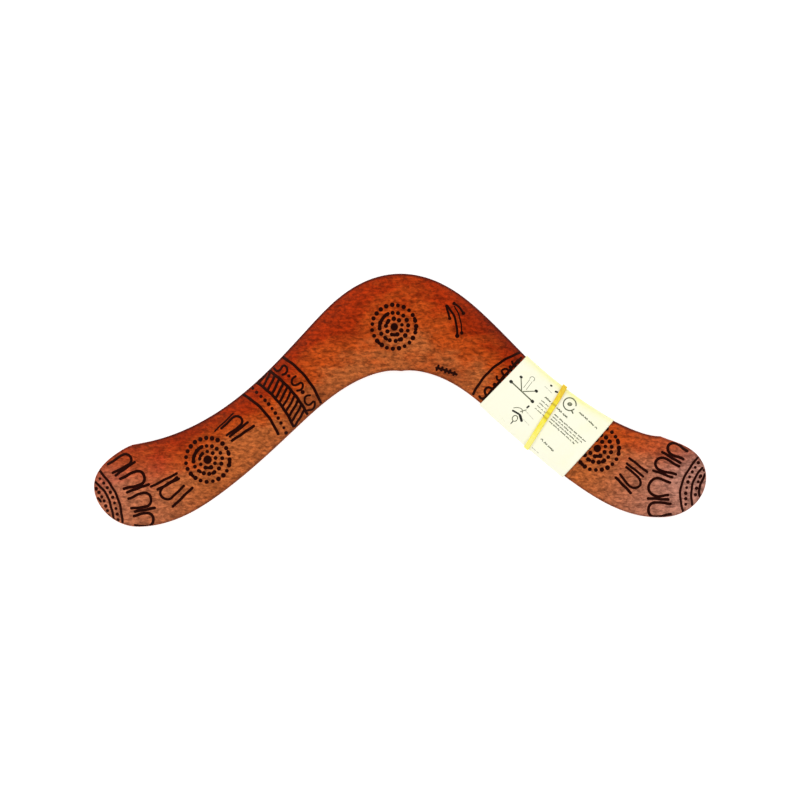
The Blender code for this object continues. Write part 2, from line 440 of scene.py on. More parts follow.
@dataclass(frozen=True)
class PrintedPaper:
    """Uncoated cream paper with a fibrous surface, tinted yellow as painted shade where the mesh's fold-shade
    number says.
    """

    cream: Colour = (0.94, 0.925, 0.74)
    # yellowed paper, and also the yellow of the painted shade where the sheet bends over the outer edge
    yellowing_and_fold_shade: Colour = (0.94, 0.92, 0.36)
    shade: Colour = (0.90, 0.88, 0.68)

    def material(self) -> bpy.types.Material:
        """Cream with cloudy patches and fibres, and a yellow tint as painted shade at the bend over the outer
        edge.

        Returns:
            The material.
        """
        recipe = Recipe(Slot.PAPER.value)
        cloud = recipe.noise(recipe.stretched((70.0, 70.0, 70.0)), 1.0, 3.0)
        fibre = recipe.noise(recipe.stretched((900.0, 2600.0, 2600.0), 40.0), 1.0, 4.0, 0.6, 0.8)
        paper = recipe.mix(recipe.rise(cloud, 0.45, 0.75, 0.0, 0.16), self.cream, self.yellowing_and_fold_shade)
        paper = recipe.mix(recipe.rise(fibre, 0.5, 0.8, 0.0, 0.25), paper, self.shade)
        # painted shade: the sheet is tinted yellow where it bends down over the arm's outer edge
        fold_shade = recipe.math("MULTIPLY", recipe.attribute("fold_shade"), recipe.rise(cloud, 0.2, 0.8, 0.75, 1.0))
        paper = recipe.mix(fold_shade, paper, self.yellowing_and_fold_shade)
        recipe.set(
            Base_Color=paper,
            Roughness=recipe.rise(fibre, 0.2, 0.8, 0.72, 0.86),
            Specular_IOR_Level=0.35,
            Normal=recipe.bump(fibre, 0.16, 0.0001),
        )
        return recipe.made


@dataclass(frozen=True)
class PrintingInk:
    """Printing ink on the paper, a little broken up where it is thin."""

    name: str
    dark: Colour
    light: Colour

    def material(self) -> bpy.types.Material:
        """Dark ink with lighter specks.

        Returns:
            The material.
        """
        recipe = Recipe(self.name)
        speck = recipe.noise(recipe.stretched((2400.0, 2400.0, 2400.0)), 1.0, 2.0)
        recipe.set(
            Base_Color=recipe.mix(recipe.rise(speck, 0.45, 0.75), self.dark, self.light),
            Roughness=recipe.rise(speck, 0.2, 0.8, 0.6, 0.75),
            Specular_IOR_Level=0.3,
        )
        return recipe.made


@dataclass(frozen=True)
class YellowRubber:
    """Natural yellow rubber: deeper where the mesh's tone is high, which takes in painted shade on the
    strip's rounded edges, and darker over print that shows through it, with fine lines along the strip."""

    bright: Colour = (0.93, 0.80, 0.04)
    deep: Colour = (0.80, 0.52, 0.01)
    pale: Colour = (0.94, 0.86, 0.22)
    shadow: Colour = (0.42, 0.27, 0.015)

    def material(self) -> bpy.types.Material:
        """Yellow by tone, with lines along the strip's own UV map.

        Returns:
            The material.
        """
        recipe = Recipe(Slot.RUBBER.value)
        lines = recipe.noise(recipe.stretched((0.12, 5.0, 1.0), source="UV"), 1.0, 3.0)
        cloud = recipe.noise(recipe.stretched((0.35, 0.6, 1.0), source="UV"), 1.0, 2.0)
        tone = recipe.math("ADD", recipe.attribute("tone"), recipe.rise(cloud, 0.3, 0.7, -0.12, 0.12))
        rubber = recipe.mix(recipe.rise(tone, 0.0, 0.5), self.pale, self.bright)
        rubber = recipe.mix(recipe.rise(tone, 0.55, 1.0), rubber, self.deep)
        rubber = recipe.mix(recipe.attribute("print"), rubber, self.shadow)
        rubber = recipe.mix(recipe.rise(lines, 0.55, 0.8, 0.0, 0.3), rubber, self.deep)
        recipe.set(
            Base_Color=rubber,
            Roughness=recipe.rise(lines, 0.3, 0.7, 0.46, 0.60),
            Specular_IOR_Level=0.4,
            Normal=recipe.bump(lines, 0.25, 0.0002),
        )
        return recipe.made


@dataclass(frozen=True)
class StudioWhite:
    """The floor's plain matt white, lit a little from within as on a light table."""

    colour: Colour = (0.93, 0.93, 0.93)

    def material(self) -> bpy.types.Material:
        """White with the faintest unevenness.

        Returns:
            The material.
        """
        recipe = Recipe("studio_white")
        cloud = recipe.noise(recipe.stretched((3.0, 3.0, 3.0)), 1.0, 2.0)
        recipe.set(
            Base_Color=recipe.mix(recipe.rise(cloud, 0.3, 0.7, 0.0, 0.02), self.colour, (0.9, 0.9, 0.9)),
            Roughness=0.9,
            Specular_IOR_Level=0.1,
            Emission_Color=(1.0, 1.0, 1.0, 1.0),
            Emission_Strength=0.45,
        )
        return recipe.made


# --- Pieces -----------------------------------------------------------------------------------------


@dataclass
class Piece:
    """A mesh on its way to becoming a named piece.

    Attributes:
        name: the object's name.
        body: the body that it rides on.
        slot: the record's slot that its finish comes from; not used.
        finish: its material.
    """

    name: str
    body: Body
    slot: Slot
    finish: bpy.types.Material

    def lay(
        self, points: np.ndarray, faces: list[tuple[int, ...]], numbers: dict[str, np.ndarray]
    ) -> bpy.types.Object:
        """Put the mesh into the scene, riding on its body.

        Args:
            points: vertices in millimetres, one row each.
            faces: corner indices.
            numbers: values to carry on the vertices, by name.

        Returns:
            The new object, at the origin.
        """
        mesh = bpy.data.meshes.new(self.name)
        mesh.from_pydata((points * MM).tolist(), [], faces)
        for name, values in numbers.items():
            carried = mesh.attributes.new(name, "FLOAT", "POINT")
            carried.data.foreach_set("value", np.ascontiguousarray(values, dtype=np.float32))
        mesh.materials.append(self.finish)
        mesh.shade_smooth()
        made = bpy.data.objects.new(self.name, mesh)
        bpy.context.scene.collection.objects.link(made)
        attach(made, self.body.value)
        LOG.info("%s: %d points, %d faces, on %s", self.name, len(points), len(faces), self.body.value)
        return made


# --- The blade --------------------------------------------------------------------------------------


@dataclass(frozen=True)
class Pool:
    """A place where the stain lies thick, with a soft border.

    Attributes:
        centre: its middle.
        reach: its half length and half width.
        turn: degrees from X to its length.
        depth: how thick the stain is at its middle, from 0 to 1.
    """

    centre: Point
    reach: Point
    turn: float
    depth: float

    def depth_at(self, points: np.ndarray) -> np.ndarray:
        """The depth times exp(-r^2), r being the distance from the middle as a share of the reach."""
        share = turned(points - np.array(self.centre), -self.turn) / np.array(self.reach)
        return self.depth * np.exp(-(share**2).sum(axis=1))


@dataclass(frozen=True)
class BladeShape:
    """The blade's form. A centre line runs from tip to tip with a half width at each point. The top rises
    from each rim to a crest, as a rounded power of the sine, and the crest lies towards the leading edge.
    """

    line: tuple[tuple[float, float, float], ...] = (
        (-203.0, -52.0, 23.0),
        (-175.0, -55.0, 27.5),
        (-131.0, -40.0, 24.5),
        (-85.0, -6.5, 20.5),
        (-41.0, 31.5, 24.5),
        (1.0, 50.0, 32.5),
        (43.0, 33.5, 25.5),
        (87.0, -6.0, 21.5),
        (133.0, -41.0, 25.0),
        (177.0, -55.5, 27.0),
        (201.0, -46.5, 25.0),
    )
    tip_length: float = 28.0
    thick_elbow: float = 8.0
    thick_arm: float = 7.0
    thick_tip: float = 5.0
    arm_from_elbow: float = 72.0
    taper_from_elbow: tuple[float, float] = (168.0, 225.0)
    crest_offset: float = 0.30
    edge_leading: float = 2.2
    edge_trailing: float = 1.1
    fullness_leading: float = 0.62
    fullness_trailing: float = 0.80
    under_rounding: float = 1.6
    lead_blend: float = 55.0
    rim_inset: float = 0.15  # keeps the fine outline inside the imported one, whose corners cut across it
    tip_stations: int = 40
    arm_stations: int = 420
    search_stations: int = 470
    ripple: float = 0.07  # height of the tool's long, shallow waves in the top
    pools: tuple[Pool, ...] = (
        Pool((70.0, 41.0), (26.0, 11.0), -42.0, 0.62),
        Pool((-96.0, 22.0), (24.0, 9.0), 44.0, 0.55),
        Pool((-152.0, -20.0), (42.0, 9.0), 14.0, 0.42),
        Pool((-70.0, 40.0), (26.0, 8.0), 42.0, 0.30),
        Pool((-58.0, -2.0), (17.0, 8.0), 42.0, 0.42),
        Pool((34.0, 16.0), (14.0, 6.0), -24.0, 0.45),
        Pool((-26.0, 42.0), (12.0, 6.0), 10.0, 0.30),
        Pool((-118.0, -62.0), (30.0, 6.0), 26.0, 0.22),
        Pool((118.0, -34.0), (9.0, 14.0), -40.0, 0.25),
        Pool((196.0, -38.0), (12.0, 9.0), -50.0, 0.25),
        Pool((-192.0, -44.0), (12.0, 9.0), 40.0, 0.25),
    )

    @property
    def knots(self) -> np.ndarray:
        """Distance along the centre line of each of its points."""
        return chord_lengths(np.array(self.line))

    @property
    def length(self) -> float:
        """Length of the centre line."""
        return float(self.knots[-1])

    @property
    def elbow(self) -> float:
        """Distance along the centre line of the elbow."""
        return float(self.knots[len(self.line) // 2])

    @property
    def underside(self) -> float:
        """Height of the flat underside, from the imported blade."""
        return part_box("blade")[0].z / MM

    def centre_line(self, along: np.ndarray) -> tuple[np.ndarray, np.ndarray, np.ndarray]:
        """The centre line as a natural spline through its points.

        Args:
            along: distances from the left tip.

        Returns:
            Points, unit normals that point to the outer edge, and half widths.
        """
        small = 0.01
        values = np.array(self.line)
        rows = natural_spline(self.knots, values, along)
        ahead = natural_spline(self.knots, values, along + small)
        step = (ahead - natural_spline(self.knots, values, along - small))[:, :2]
        tangent = step / np.hypot(step[:, 0], step[:, 1])[:, None]
        normal = np.stack([-tangent[:, 1], tangent[:, 0]], axis=1)
        return rows[:, :2], normal, rows[:, 2] - self.rim_inset

    def thickness(self, along: np.ndarray) -> np.ndarray:
        """Thickness at the crest: fullest at the elbow, even along the arms, thinner at the tips.

        Args:
            along: distances from the left tip.

        Returns:
            The thickness at each.
        """
        reach = np.abs(along - self.elbow)
        thinning = smooth_step(0, self.arm_from_elbow, reach)
        elbow = self.thick_elbow + (self.thick_arm - self.thick_elbow) * thinning
        return elbow + (self.thick_tip - self.thick_arm) * smooth_step(*self.taper_from_elbow, reach)

    def lead(self, along: np.ndarray) -> np.ndarray:
        """Which edge leads in flight: 1 the outer one on the right arm, -1 the inner one on the left arm,
        0 at the tips.

        Args:
            along: distances from the left tip.

        Returns:
            A number from -1 to 1 for each.
        """
        side = 2 * smooth_step(-self.lead_blend, self.lead_blend, along - self.elbow) - 1
        ends = np.minimum(along, self.length - along)
        return side * smooth_step(self.tip_length, 2.5 * self.tip_length, ends)

    def edge_height(self, leading: np.ndarray) -> np.ndarray:
        """Height of an edge's outermost line over the underside, for 1 leading and -1 trailing."""
        middle = (self.edge_leading + self.edge_trailing) / 2
        return middle + leading * (self.edge_leading - self.edge_trailing) / 2

    def fullness(self, leading: np.ndarray) -> np.ndarray:
        """Power of the top's curve towards an edge, for 1 leading and -1 trailing."""
        middle = (self.fullness_leading + self.fullness_trailing) / 2
        return middle + leading * (self.fullness_leading - self.fullness_trailing) / 2

    def outline(self) -> tuple[np.ndarray, np.ndarray, np.ndarray, np.ndarray]:
        """The outline, anticlockwise from the left tip. Within tip_length of an end the half width is
        multiplied by sqrt(1 - s^2), s being the share of the way into the tip.

        Returns:
            Rim points, the crest points that they face, the thickness there, and how far each edge leads.
        """
        turn = np.linspace(0, math.pi / 2, self.tip_stations)
        start = self.tip_length * (1 - np.cos(turn))
        middle = np.linspace(self.tip_length, self.length - self.tip_length, self.arm_stations)[1:-1]
        along = np.concatenate([start, middle, self.length - start[::-1]])
        place, normal, half = self.centre_line(along)
        into_tip = np.maximum(0, 1 - np.minimum(along, self.length - along) / self.tip_length)
        reach = (half * np.sqrt(1 - into_tip**2))[:, None] * normal
        crest_along = np.clip(along, self.tip_length, self.length - self.tip_length)
        crest = self.crest(crest_along)
        thick = self.thickness(crest_along)
        leading = self.lead(along)
        back = slice(-2, 0, -1)
        return (
            np.concatenate([place - reach, (place + reach)[back]]),
            np.concatenate([crest, crest[back]]),
            np.concatenate([thick, thick[back]]),
            np.concatenate([-leading, leading[back]]),
        )

    def crest(self, along: np.ndarray) -> np.ndarray:
        """Points of the crest line: off the centre line by a share of the half width, to the leading edge."""
        place, normal, half = self.centre_line(along)
        return place + (self.crest_offset * self.lead(along) * half)[:, None] * normal

    def foot(self, points: np.ndarray) -> np.ndarray:
        """Distance along the centre line nearest to each point: the nearest station, then three steps by
        the part of the remaining way that lies along the line.

        Args:
            points: points of the plan.

        Returns:
            A distance from the left tip for each.
        """
        stations = np.linspace(0, self.length, self.search_stations)
        place = self.centre_line(stations)[0]
        nearest = np.concatenate(
            [
                ((part[:, None, :] - place[None]) ** 2).sum(axis=2).argmin(axis=1)
                for part in np.array_split(points, max(1, len(points) // 4000))
            ]
        )
        along = stations[nearest]
        for _ in range(3):
            place, normal, _ = self.centre_line(along)
            tangent = np.stack([normal[:, 1], -normal[:, 0]], axis=1)
            along = np.clip(along + ((points - place) * tangent).sum(axis=1), 0, self.length)
        return along

    def stand(self, points: np.ndarray) -> "Standing":
        """Where points of the plan stand on the blade. On an arm a point lies between the crest and the
        rim on the centre line's normal; beyond a crest's end it lies on a ray from that end to the rim.

        Args:
            points: points of the plan.

        Returns:
            Where they stand.
        """
        along = self.foot(points)
        place, normal, half = self.centre_line(along)
        offset = ((points - place) * normal).sum(axis=1)
        leading = self.lead(along)
        middle = self.crest_offset * leading * half
        outer = offset > middle
        reach = np.where(outer, half - middle, half + middle)
        run = np.abs(offset - middle)
        leading = np.where(outer, leading, -leading)
        away = normal * np.where(outer, 1.0, -1.0)[:, None]
        crest = place + middle[:, None] * normal
        rim, _, _, _ = self.outline()
        for end, beyond in ((self.tip_length, along < self.tip_length),
                            (self.length - self.tip_length, along > self.length - self.tip_length)):
            if not beyond.any():
                continue
            hub = self.crest(np.array([end]))[0]
            rays = rim - hub
            near = np.hypot(rays[:, 0], rays[:, 1]) < 2 * self.tip_length
            angle = np.arctan2(rays[near, 1], rays[near, 0])
            order = np.argsort(angle)
            ray = points[beyond] - hub
            length = np.hypot(ray[:, 0], ray[:, 1])
            rim_reach = np.interp(
                np.arctan2(ray[:, 1], ray[:, 0]),
                angle[order],
                np.hypot(rays[near, 0], rays[near, 1])[order],
                period=2 * math.pi,
            )
            reach[beyond] = rim_reach
            run[beyond] = length
            crest[beyond] = hub
            away[beyond] = ray / np.maximum(length, 1e-6)[:, None]
            leading[beyond] = 0
        side = np.clip(offset / half, -1, 1)
        thick = self.thickness(np.clip(along, self.tip_length, self.length - self.tip_length))
        return Standing(along, side, crest, away, reach, run, thick, leading)

    def waves(self, points: np.ndarray) -> np.ndarray:
        """The tool's traces: three long sine waves across the plan, between 0 and 1 in sum.

        Args:
            points: points of the plan.

        Returns:
            The waves at each.
        """
        x, y = points[:, 0], points[:, 1]
        waves = np.sin(x / 17 + y / 31) + np.sin(y / 13 - x / 43 + 1.7) + 0.6 * np.sin(x / 7.5 + 0.4)
        return 0.5 + waves / 5.2


@dataclass
class Standing:
    """Where points stand on the blade.

    Attributes:
        along: distance along the centre line.
        side: share of the way from the centre line, -1 at the inner rim and 1 at the outer rim.
        crest: the crest point that each faces.
        away: unit direction from there through the point to the rim.
        reach: distance from the crest to the rim that way.
        run: distance from the crest to the point.
        thick: thickness at the crest.
        leading: how far the rim that way leads.
    """

    along: np.ndarray
    side: np.ndarray
    crest: np.ndarray
    away: np.ndarray
    reach: np.ndarray
    run: np.ndarray
    thick: np.ndarray
    leading: np.ndarray

    def kept_from_rim(self, margin: float) -> "Standing":
        """The same points, drawn in so that none is nearer to the rim than a margin.

        Args:
            margin: the distance to keep.

        Returns:
            The points that were drawn in.
        """
        run = np.minimum(self.run, self.reach - margin)
        return Standing(
            self.along, self.side, self.crest, self.away, self.reach, run, self.thick, self.leading
        )

    def plan(self) -> np.ndarray:
        """The points themselves."""
        return self.crest + self.away * self.run[:, None]

    def rise(self, shape: BladeShape) -> np.ndarray:
        """Height over the underside: from the edge's height to the crest's by (1 - c^2)^fullness, c being
        the share of the way out from the crest, less the tool's waves.

        Args:
            shape: the blade.

        Returns:
            The height at each point.
        """
        out = np.clip(self.run / self.reach, 0, 1)
        low = shape.edge_height(self.leading)
        lifted = (1 - out**2) ** shape.fullness(self.leading)
        return low + (self.thick - low) * lifted - shape.ripple * lifted * shape.waves(self.plan())

    def numbers(self, shape: BladeShape) -> dict[str, np.ndarray]:
        """What the stained wood's finish reads: the stain is red towards the outer rim and ochre towards
        the inner one, and less red along the arms; the tips are paled as a painted highlight; and both rims
        are dark.

        Args:
            shape: the blade.

        Returns:
            The numbers by name, except burn.
        """
        ends = np.minimum(self.along, shape.length - self.along)
        past = self.along - shape.elbow
        right = smooth_step(-40, 140, past)
        tone = smooth_step(-0.9, 1.0, self.side) - 0.16 * smooth_step(60, 150, np.abs(past))
        tone = tone - 0.20 * smooth_step(70, 150, past)
        # how near a tip: the weight of the painted highlight there, which also weakens the dark rim
        painted_tip_highlight = 1 - smooth_step(4, 78, ends)
        pale = (0.34 + 0.56 * right) * painted_tip_highlight * (1 - 0.85 * smooth_step(-0.1, 0.8, self.side))
        rim = 1 - smooth_step(0.2, 2.4, self.reach - self.run)
        edge = rim * (0.55 + 0.45 * smooth_step(-0.2, 0.6, self.side)) * (1 - 0.6 * painted_tip_highlight)
        plan = self.plan()
        depth = 1 - np.prod([1 - pool.depth_at(plan) for pool in shape.pools], axis=0)
        return {"tone": tone, "pale": pale, "edge": edge, "depth": depth}


@dataclass
class Blade:
    """The wooden blade, as one closed surface of rings round it, from the middle of its underside out to
    the rim and up to the crest."""

    shape: BladeShape
    finish: bpy.types.Material
    under_rings: int = 8
    edge_rings: int = 6
    top_rings: int = 34
    name: str = "wooden_blade"

    def build(self) -> bpy.types.Object:
        """Rings under the blade run in along lines to the crest; an edge ring at angle a lies in by
        r (1 - cos a) and at h (1 - sin a); a top ring at angle t lies in by 1 - cos t of the way to the
        crest, at the top's height there.

        Returns:
            The blade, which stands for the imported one.
        """
        shape = self.shape
        rim, crest, thick, leading = shape.outline()
        inward = crest - rim
        length = np.hypot(inward[:, 0], inward[:, 1])
        way = inward / length[:, None]
        low = shape.edge_height(leading)
        plans, heights, runs = [], [], []
        flat = shape.under_rounding / length
        for part in np.linspace(0.985, 0.0, self.under_rings, endpoint=False):
            share = flat + (1 - flat) * part
            plans.append(rim + inward * share[:, None])
            heights.append(np.zeros(len(rim)))
            runs.append(length * (1 - share))
        for angle in np.linspace(math.pi / 2, 0, self.edge_rings, endpoint=False):
            plans.append(rim + way * shape.under_rounding * (1 - math.cos(angle)))
            heights.append(low * (1 - math.sin(angle)))
            runs.append(length - shape.under_rounding * (1 - math.cos(angle)))
        for angle in np.linspace(0, math.radians(88.5), self.top_rings):
            plans.append(rim + inward * (1 - math.cos(angle)))
            runs.append(length * math.cos(angle))
            lifted = (1 - math.cos(angle) ** 2) ** shape.fullness(leading)
            heights.append(low + (thick - low) * lifted - shape.ripple * lifted * shape.waves(plans[-1]))
        rows, columns = len(plans), len(rim)
        points = np.column_stack([np.concatenate(plans), shape.underside + np.concatenate(heights)])
        faces = tube_faces(rows, columns) + across_faces(0, columns, True)
        faces += across_faces((rows - 1) * columns, columns, False)
        standing = shape.stand(points[:, :2])
        standing.reach = np.tile(length, rows)
        standing.run = np.concatenate(runs)
        numbers = {**standing.numbers(shape), "burn": np.zeros(len(points))}
        made = Piece(self.name, Body.BLADE, Slot.WOOD, self.finish).lay(points, faces, numbers)
        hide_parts("blade")
        return made


# --- Marks drawn on the blade and on the leaflet ----------------------------------------------------


@dataclass(frozen=True)
class Stroke:
    """One drawn line: the points of its middle line, close together, and its width."""

    middle: np.ndarray
    width: float


@dataclass
class Pen:
    """A hand with a pen of one width, which wavers a little.

    Attributes:
        width: of its lines.
        seed: of the hand's wavering.
        waver: how far a line strays to the side.
    """

    width: float = 1.3
    seed: int = 1
    waver: float = 0.12
    drawn: list[Stroke] = field(default_factory=list)

    def __post_init__(self) -> None:
        """Start the hand's own random numbers."""
        self.random = np.random.default_rng(self.seed)

    def _draw(self, middle: np.ndarray, width: float | None = None) -> None:
        """Keep a line, moved sideways by a slow sine and its width changed by up to a tenth.

        Args:
            middle: the points of the line's middle.
            width: the line's width, or None for the pen's own.
        """
        run = chord_lengths(middle)
        phase, wave = self.random.uniform(0, 2 * math.pi), self.random.uniform(7, 11)
        aside = self.waver * np.sin(run / wave * 2 * math.pi + phase)
        ahead = np.gradient(middle, axis=0)
        ahead /= np.maximum(np.hypot(ahead[:, 0], ahead[:, 1]), 1e-9)[:, None]
        middle = middle + aside[:, None] * np.stack([-ahead[:, 1], ahead[:, 0]], axis=1)
        self.drawn.append(Stroke(middle, (width or self.width) * self.random.uniform(0.92, 1.08)))

    def line(self, start: Point, end: Point, width: float | None = None) -> None:
        """A straight line."""
        self.bow(start, end, 0.0, width)

    def bow(self, start: Point, end: Point, sag: float, width: float | None = None) -> None:
        """A parabola from start to end that lies sag to the left of the straight way at its middle.

        Args:
            start: one end.
            end: the other end.
            sag: how far the line bows.
            width: the line's width, or None for the pen's own.
        """
        begin, finish = np.array(start), np.array(end)
        way = finish - begin
        length = float(np.hypot(*way))
        share = np.linspace(0, 1, max(3, int(length / 0.7)))[:, None]
        left = np.array([-way[1], way[0]]) / length
        self._draw(begin + way * share + left * 4 * sag * share * (1 - share), width)

    def through(self, *points: Point, width: float | None = None) -> None:
        """A smooth line through the points.

        Args:
            width: the line's width, or None for the pen's own.
            points: what the line passes through.
        """
        given = np.array(points, float)
        knots = chord_lengths(given)
        places = np.linspace(0, knots[-1], max(4, int(knots[-1] / 0.6)))
        self._draw(natural_spline(knots, given, places), width)

    def horseshoe(self, closed: Point, heading: float, leg: float, half: Point) -> None:
        """Two legs joined by half an ellipse.

        Args:
            closed: the middle of the closed end.
            heading: degrees, the way from there to the open end.
            leg: length from the closed end to the legs' ends.
            half: half of the distance between the legs, at the closed end and at their ends.
        """
        turn = np.radians(np.linspace(90, 270, 17))
        bend = np.stack([half[0] * (1 + np.cos(turn)), half[0] * np.sin(turn)], axis=1)
        run = np.linspace(leg, half[0], 16, endpoint=False)
        spread = half[1] + (half[0] - half[1]) * smooth_step(0, 1, (leg - run) / (leg - half[0]))
        upper = np.stack([run, spread], axis=1)
        lower = np.stack([run, -spread], axis=1)[::-1]
        self._draw(turned(np.concatenate([upper, bend, lower]), heading) + np.array(closed))

    def dot(self, centre: Point, radius: float) -> None:
        """A round dot.

        Args:
            centre: its middle, which the hand misses by a little.
            radius: its radius, which varies by about a tenth.
        """
        size = radius * self.random.uniform(0.86, 1.12)
        aside = self.random.uniform(-0.15, 0.15, 2)
        reach = StrokeForm.spread * size
        middle = np.array(centre) + aside + np.stack([np.linspace(-reach, reach, 9), np.zeros(9)], axis=1)
        self.drawn.append(Stroke(middle, 2 * size))

    def dots(self, count: int, radius: float, *points: Point) -> None:
        """A row of dots along a smooth line through the points.

        Args:
            count: number of dots.
            radius: of each.
            points: what the row passes through.
        """
        given = np.array(points, float)
        knots = chord_lengths(given)
        for place in natural_spline(knots, given, np.linspace(0, knots[-1], count)):
            self.dot(tuple(place), radius)

    def ring(self, centre: Point, reach: Point, count: int, radius: float, turn: float = 0.0) -> None:
        """Dots round an ellipse of two half axes, turned by degrees.

        Args:
            centre: middle of the ellipse.
            reach: its half axes.
            count: number of dots.
            radius: of each.
            turn: degrees.
        """
        angle = np.arange(count) / count * 2 * math.pi
        places = turned(np.stack([reach[0] * np.cos(angle), reach[1] * np.sin(angle)], axis=1), turn)
        for place in places + np.array(centre):
            self.dot(tuple(place), radius)

    def words(self, start: Point, end: Point, height: float, width: float) -> None:
        """Unreadable small print from start to end: zigzags as long as words, of a height, with gaps.

        Args:
            start: one end of the row.
            end: the other end.
            height: of the zigzags.
            width: of their lines.
        """
        begin, finish = np.array(start), np.array(end)
        length = float(np.hypot(*(finish - begin)))
        way = (finish - begin) / length
        up = np.array([-way[1], way[0]])
        run = 0.0
        while run < length - height:
            word = min(self.random.uniform(1.2, 3.6) * height, length - run)
            count = max(3, int(word / (0.36 * height)))
            rise = np.where(np.arange(count) % 2, 0.5, -0.5) * height * self.random.uniform(0.45, 1.0, count)
            at = begin + way * (run + np.linspace(0, word, count))[:, None] + up * rise[:, None]
            self.drawn.append(Stroke(at, width))
            run += word + self.random.uniform(0.45, 0.8) * height

    def oval(self, centre: Point, reach: Point, turn: float, span: Point = (0.0, 360.0)) -> None:
        """A line round an ellipse.

        Args:
            centre: its middle.
            reach: its half axes.
            turn: degrees.
            span: degrees at which the line starts and ends.
        """
        angle = np.radians(np.linspace(*span, 60))
        ellipse = np.stack([reach[0] * np.cos(angle), reach[1] * np.sin(angle)], axis=1)
        self._draw(turned(ellipse, turn) + np.array(centre))


@dataclass(frozen=True)
class StrokeForm:
    """How a drawn line becomes a thin closed lens: seven points over its top and two below, in each of
    the cross-sections along it. With c the share of the way out from its middle line or its round ends,
    the top is at height core (1 - (c / foot)^2), so that it goes into the ground at c = foot.
    """

    core: float = 0.05
    foot: float = 0.88
    below: float = 0.06
    spread: float = 1.25  # the lens's width, as a share of the line's
    spacing: float = 0.8
    tangent: float = 0.3  # how far either side of a place the line's direction is taken
    across: tuple[float, ...] = (-1.0, -0.72, -0.4, 0.0, 0.4, 0.72, 1.0, 0.5, -0.5)
    top_count: int = 7
    end_angles: tuple[float, ...] = (9.0, 26.0, 44.0, 62.0, 78.0)

    def lens(self, stroke: Stroke) -> tuple[np.ndarray, np.ndarray, np.ndarray]:
        """The lens of one stroke.

        Args:
            stroke: the drawn line.

        Returns:
            Its points in the plan as rings along it, their heights over the ground, and their shares out.
        """
        half = stroke.width * self.spread / 2
        run = chord_lengths(stroke.middle)
        length = run[-1]
        reach = min(half, length / 2)
        ends = reach * (1 - np.cos(np.radians(self.end_angles)))
        count = max(1, int((length - 2 * reach) / self.spacing) + 1)
        middle = np.linspace(reach, length - reach, count) if length > 2 * reach + 1e-6 else np.array([reach])
        where = np.concatenate([ends, middle, length - ends[::-1]])
        place = np.stack([np.interp(where, run, stroke.middle[:, i]) for i in (0, 1)], axis=1)
        small = self.tangent
        step = np.stack(
            [
                np.interp(where + small, run, stroke.middle[:, i])
                - np.interp(where - small, run, stroke.middle[:, i])
                for i in (0, 1)
            ],
            axis=1,
        )
        step /= np.maximum(np.hypot(step[:, 0], step[:, 1]), 1e-9)[:, None]
        aside = np.stack([-step[:, 1], step[:, 0]], axis=1)
        into_end = np.maximum(0, 1 - np.minimum(where, length - where) / reach)[:, None]
        share = np.array(self.across)[None, :] * np.sqrt(1 - into_end**2)
        out = np.sqrt(into_end**2 + share**2)
        height = self.core * (1 - (out / self.foot) ** 2)
        height[:, self.top_count :] = -self.below
        out[:, self.top_count :] = 0
        points = place[:, None, :] + (share * half)[:, :, None] * aside[:, None, :]
        return points, height, out

    def lenses(
        self, strokes: list[Stroke]
    ) -> tuple[np.ndarray, np.ndarray, np.ndarray, list[tuple[int, ...]]]:
        """All strokes' lenses as one mesh in the plan.

        Args:
            strokes: the drawn lines.

        Returns:
            Plan points, heights over the ground, shares out, and faces.
        """
        plans, heights, outs, faces = [], [], [], []
        start = 0
        columns = len(self.across)
        for stroke in strokes:
            plan, height, out = self.lens(stroke)
            rows = len(plan)
            faces += tube_faces(rows, columns, start)
            faces.append(tuple(range(start + columns - 1, start - 1, -1)))
            faces.append(tuple(range(start + (rows - 1) * columns, start + rows * columns)))
            plans.append(plan.reshape(-1, 2))
            heights.append(height.ravel())
            outs.append(out.ravel())
            start += rows * columns
        return np.concatenate(plans), np.concatenate(heights), np.concatenate(outs), faces


@dataclass
class BurntMarks:
    """Marks burnt into the blade's top. A subclass draws them."""

    shape: BladeShape
    finish: bpy.types.Material
    name: str = "burnt_marks"
    rim_margin: float = 0.35

    def draw(self) -> Pen:
        """The marks' strokes."""
        raise NotImplementedError

    def build(self) -> bpy.types.Object:
        """Lay the strokes on the blade's top, as scorched as 1 in their core and 0 at their rims.

        Returns:
            The marks as one object.
        """
        plan, height, out, faces = StrokeForm().lenses(self.draw().drawn)
        standing = self.shape.stand(plan).kept_from_rim(self.rim_margin)
        ground = self.shape.underside + standing.rise(self.shape)
        points = np.column_stack([standing.plan(), ground + height])
        numbers = {**standing.numbers(self.shape), "burn": 1 - smooth_step(0.66, 1.04, out)}
        return Piece(self.name, Body.BLADE, Slot.WOOD, self.finish).lay(points, faces, numbers)


@dataclass
class LeftTipMarks(BurntMarks):
    """Two arcs across the left tip, with a row of dots inside each."""

    name: str = "left_tip_arcs"

    def draw(self) -> Pen:
        """The arcs and dots.

        Returns:
            The pen with its strokes.
        """
        pen = Pen(width=1.6, seed=11)
        pen.through((-199.8, -44.0), (-190.6, -56.0), (-186.0, -67.5), (-184.7, -80.0))
        pen.through((-203.0, -51.6), (-195.4, -59.4), (-192.0, -68.6), (-190.3, -77.5), width=1.5)
        pen.dots(9, 1.05, (-199.0, -50.0), (-193.2, -57.2), (-189.6, -66.0), (-187.6, -77.2))
        pen.dots(7, 1.15, (-201.8, -56.4), (-197.6, -62.5), (-194.0, -74.5))
        pen.line((-201.2, -62.0), (-198.4, -65.8), width=1.7)
        return pen


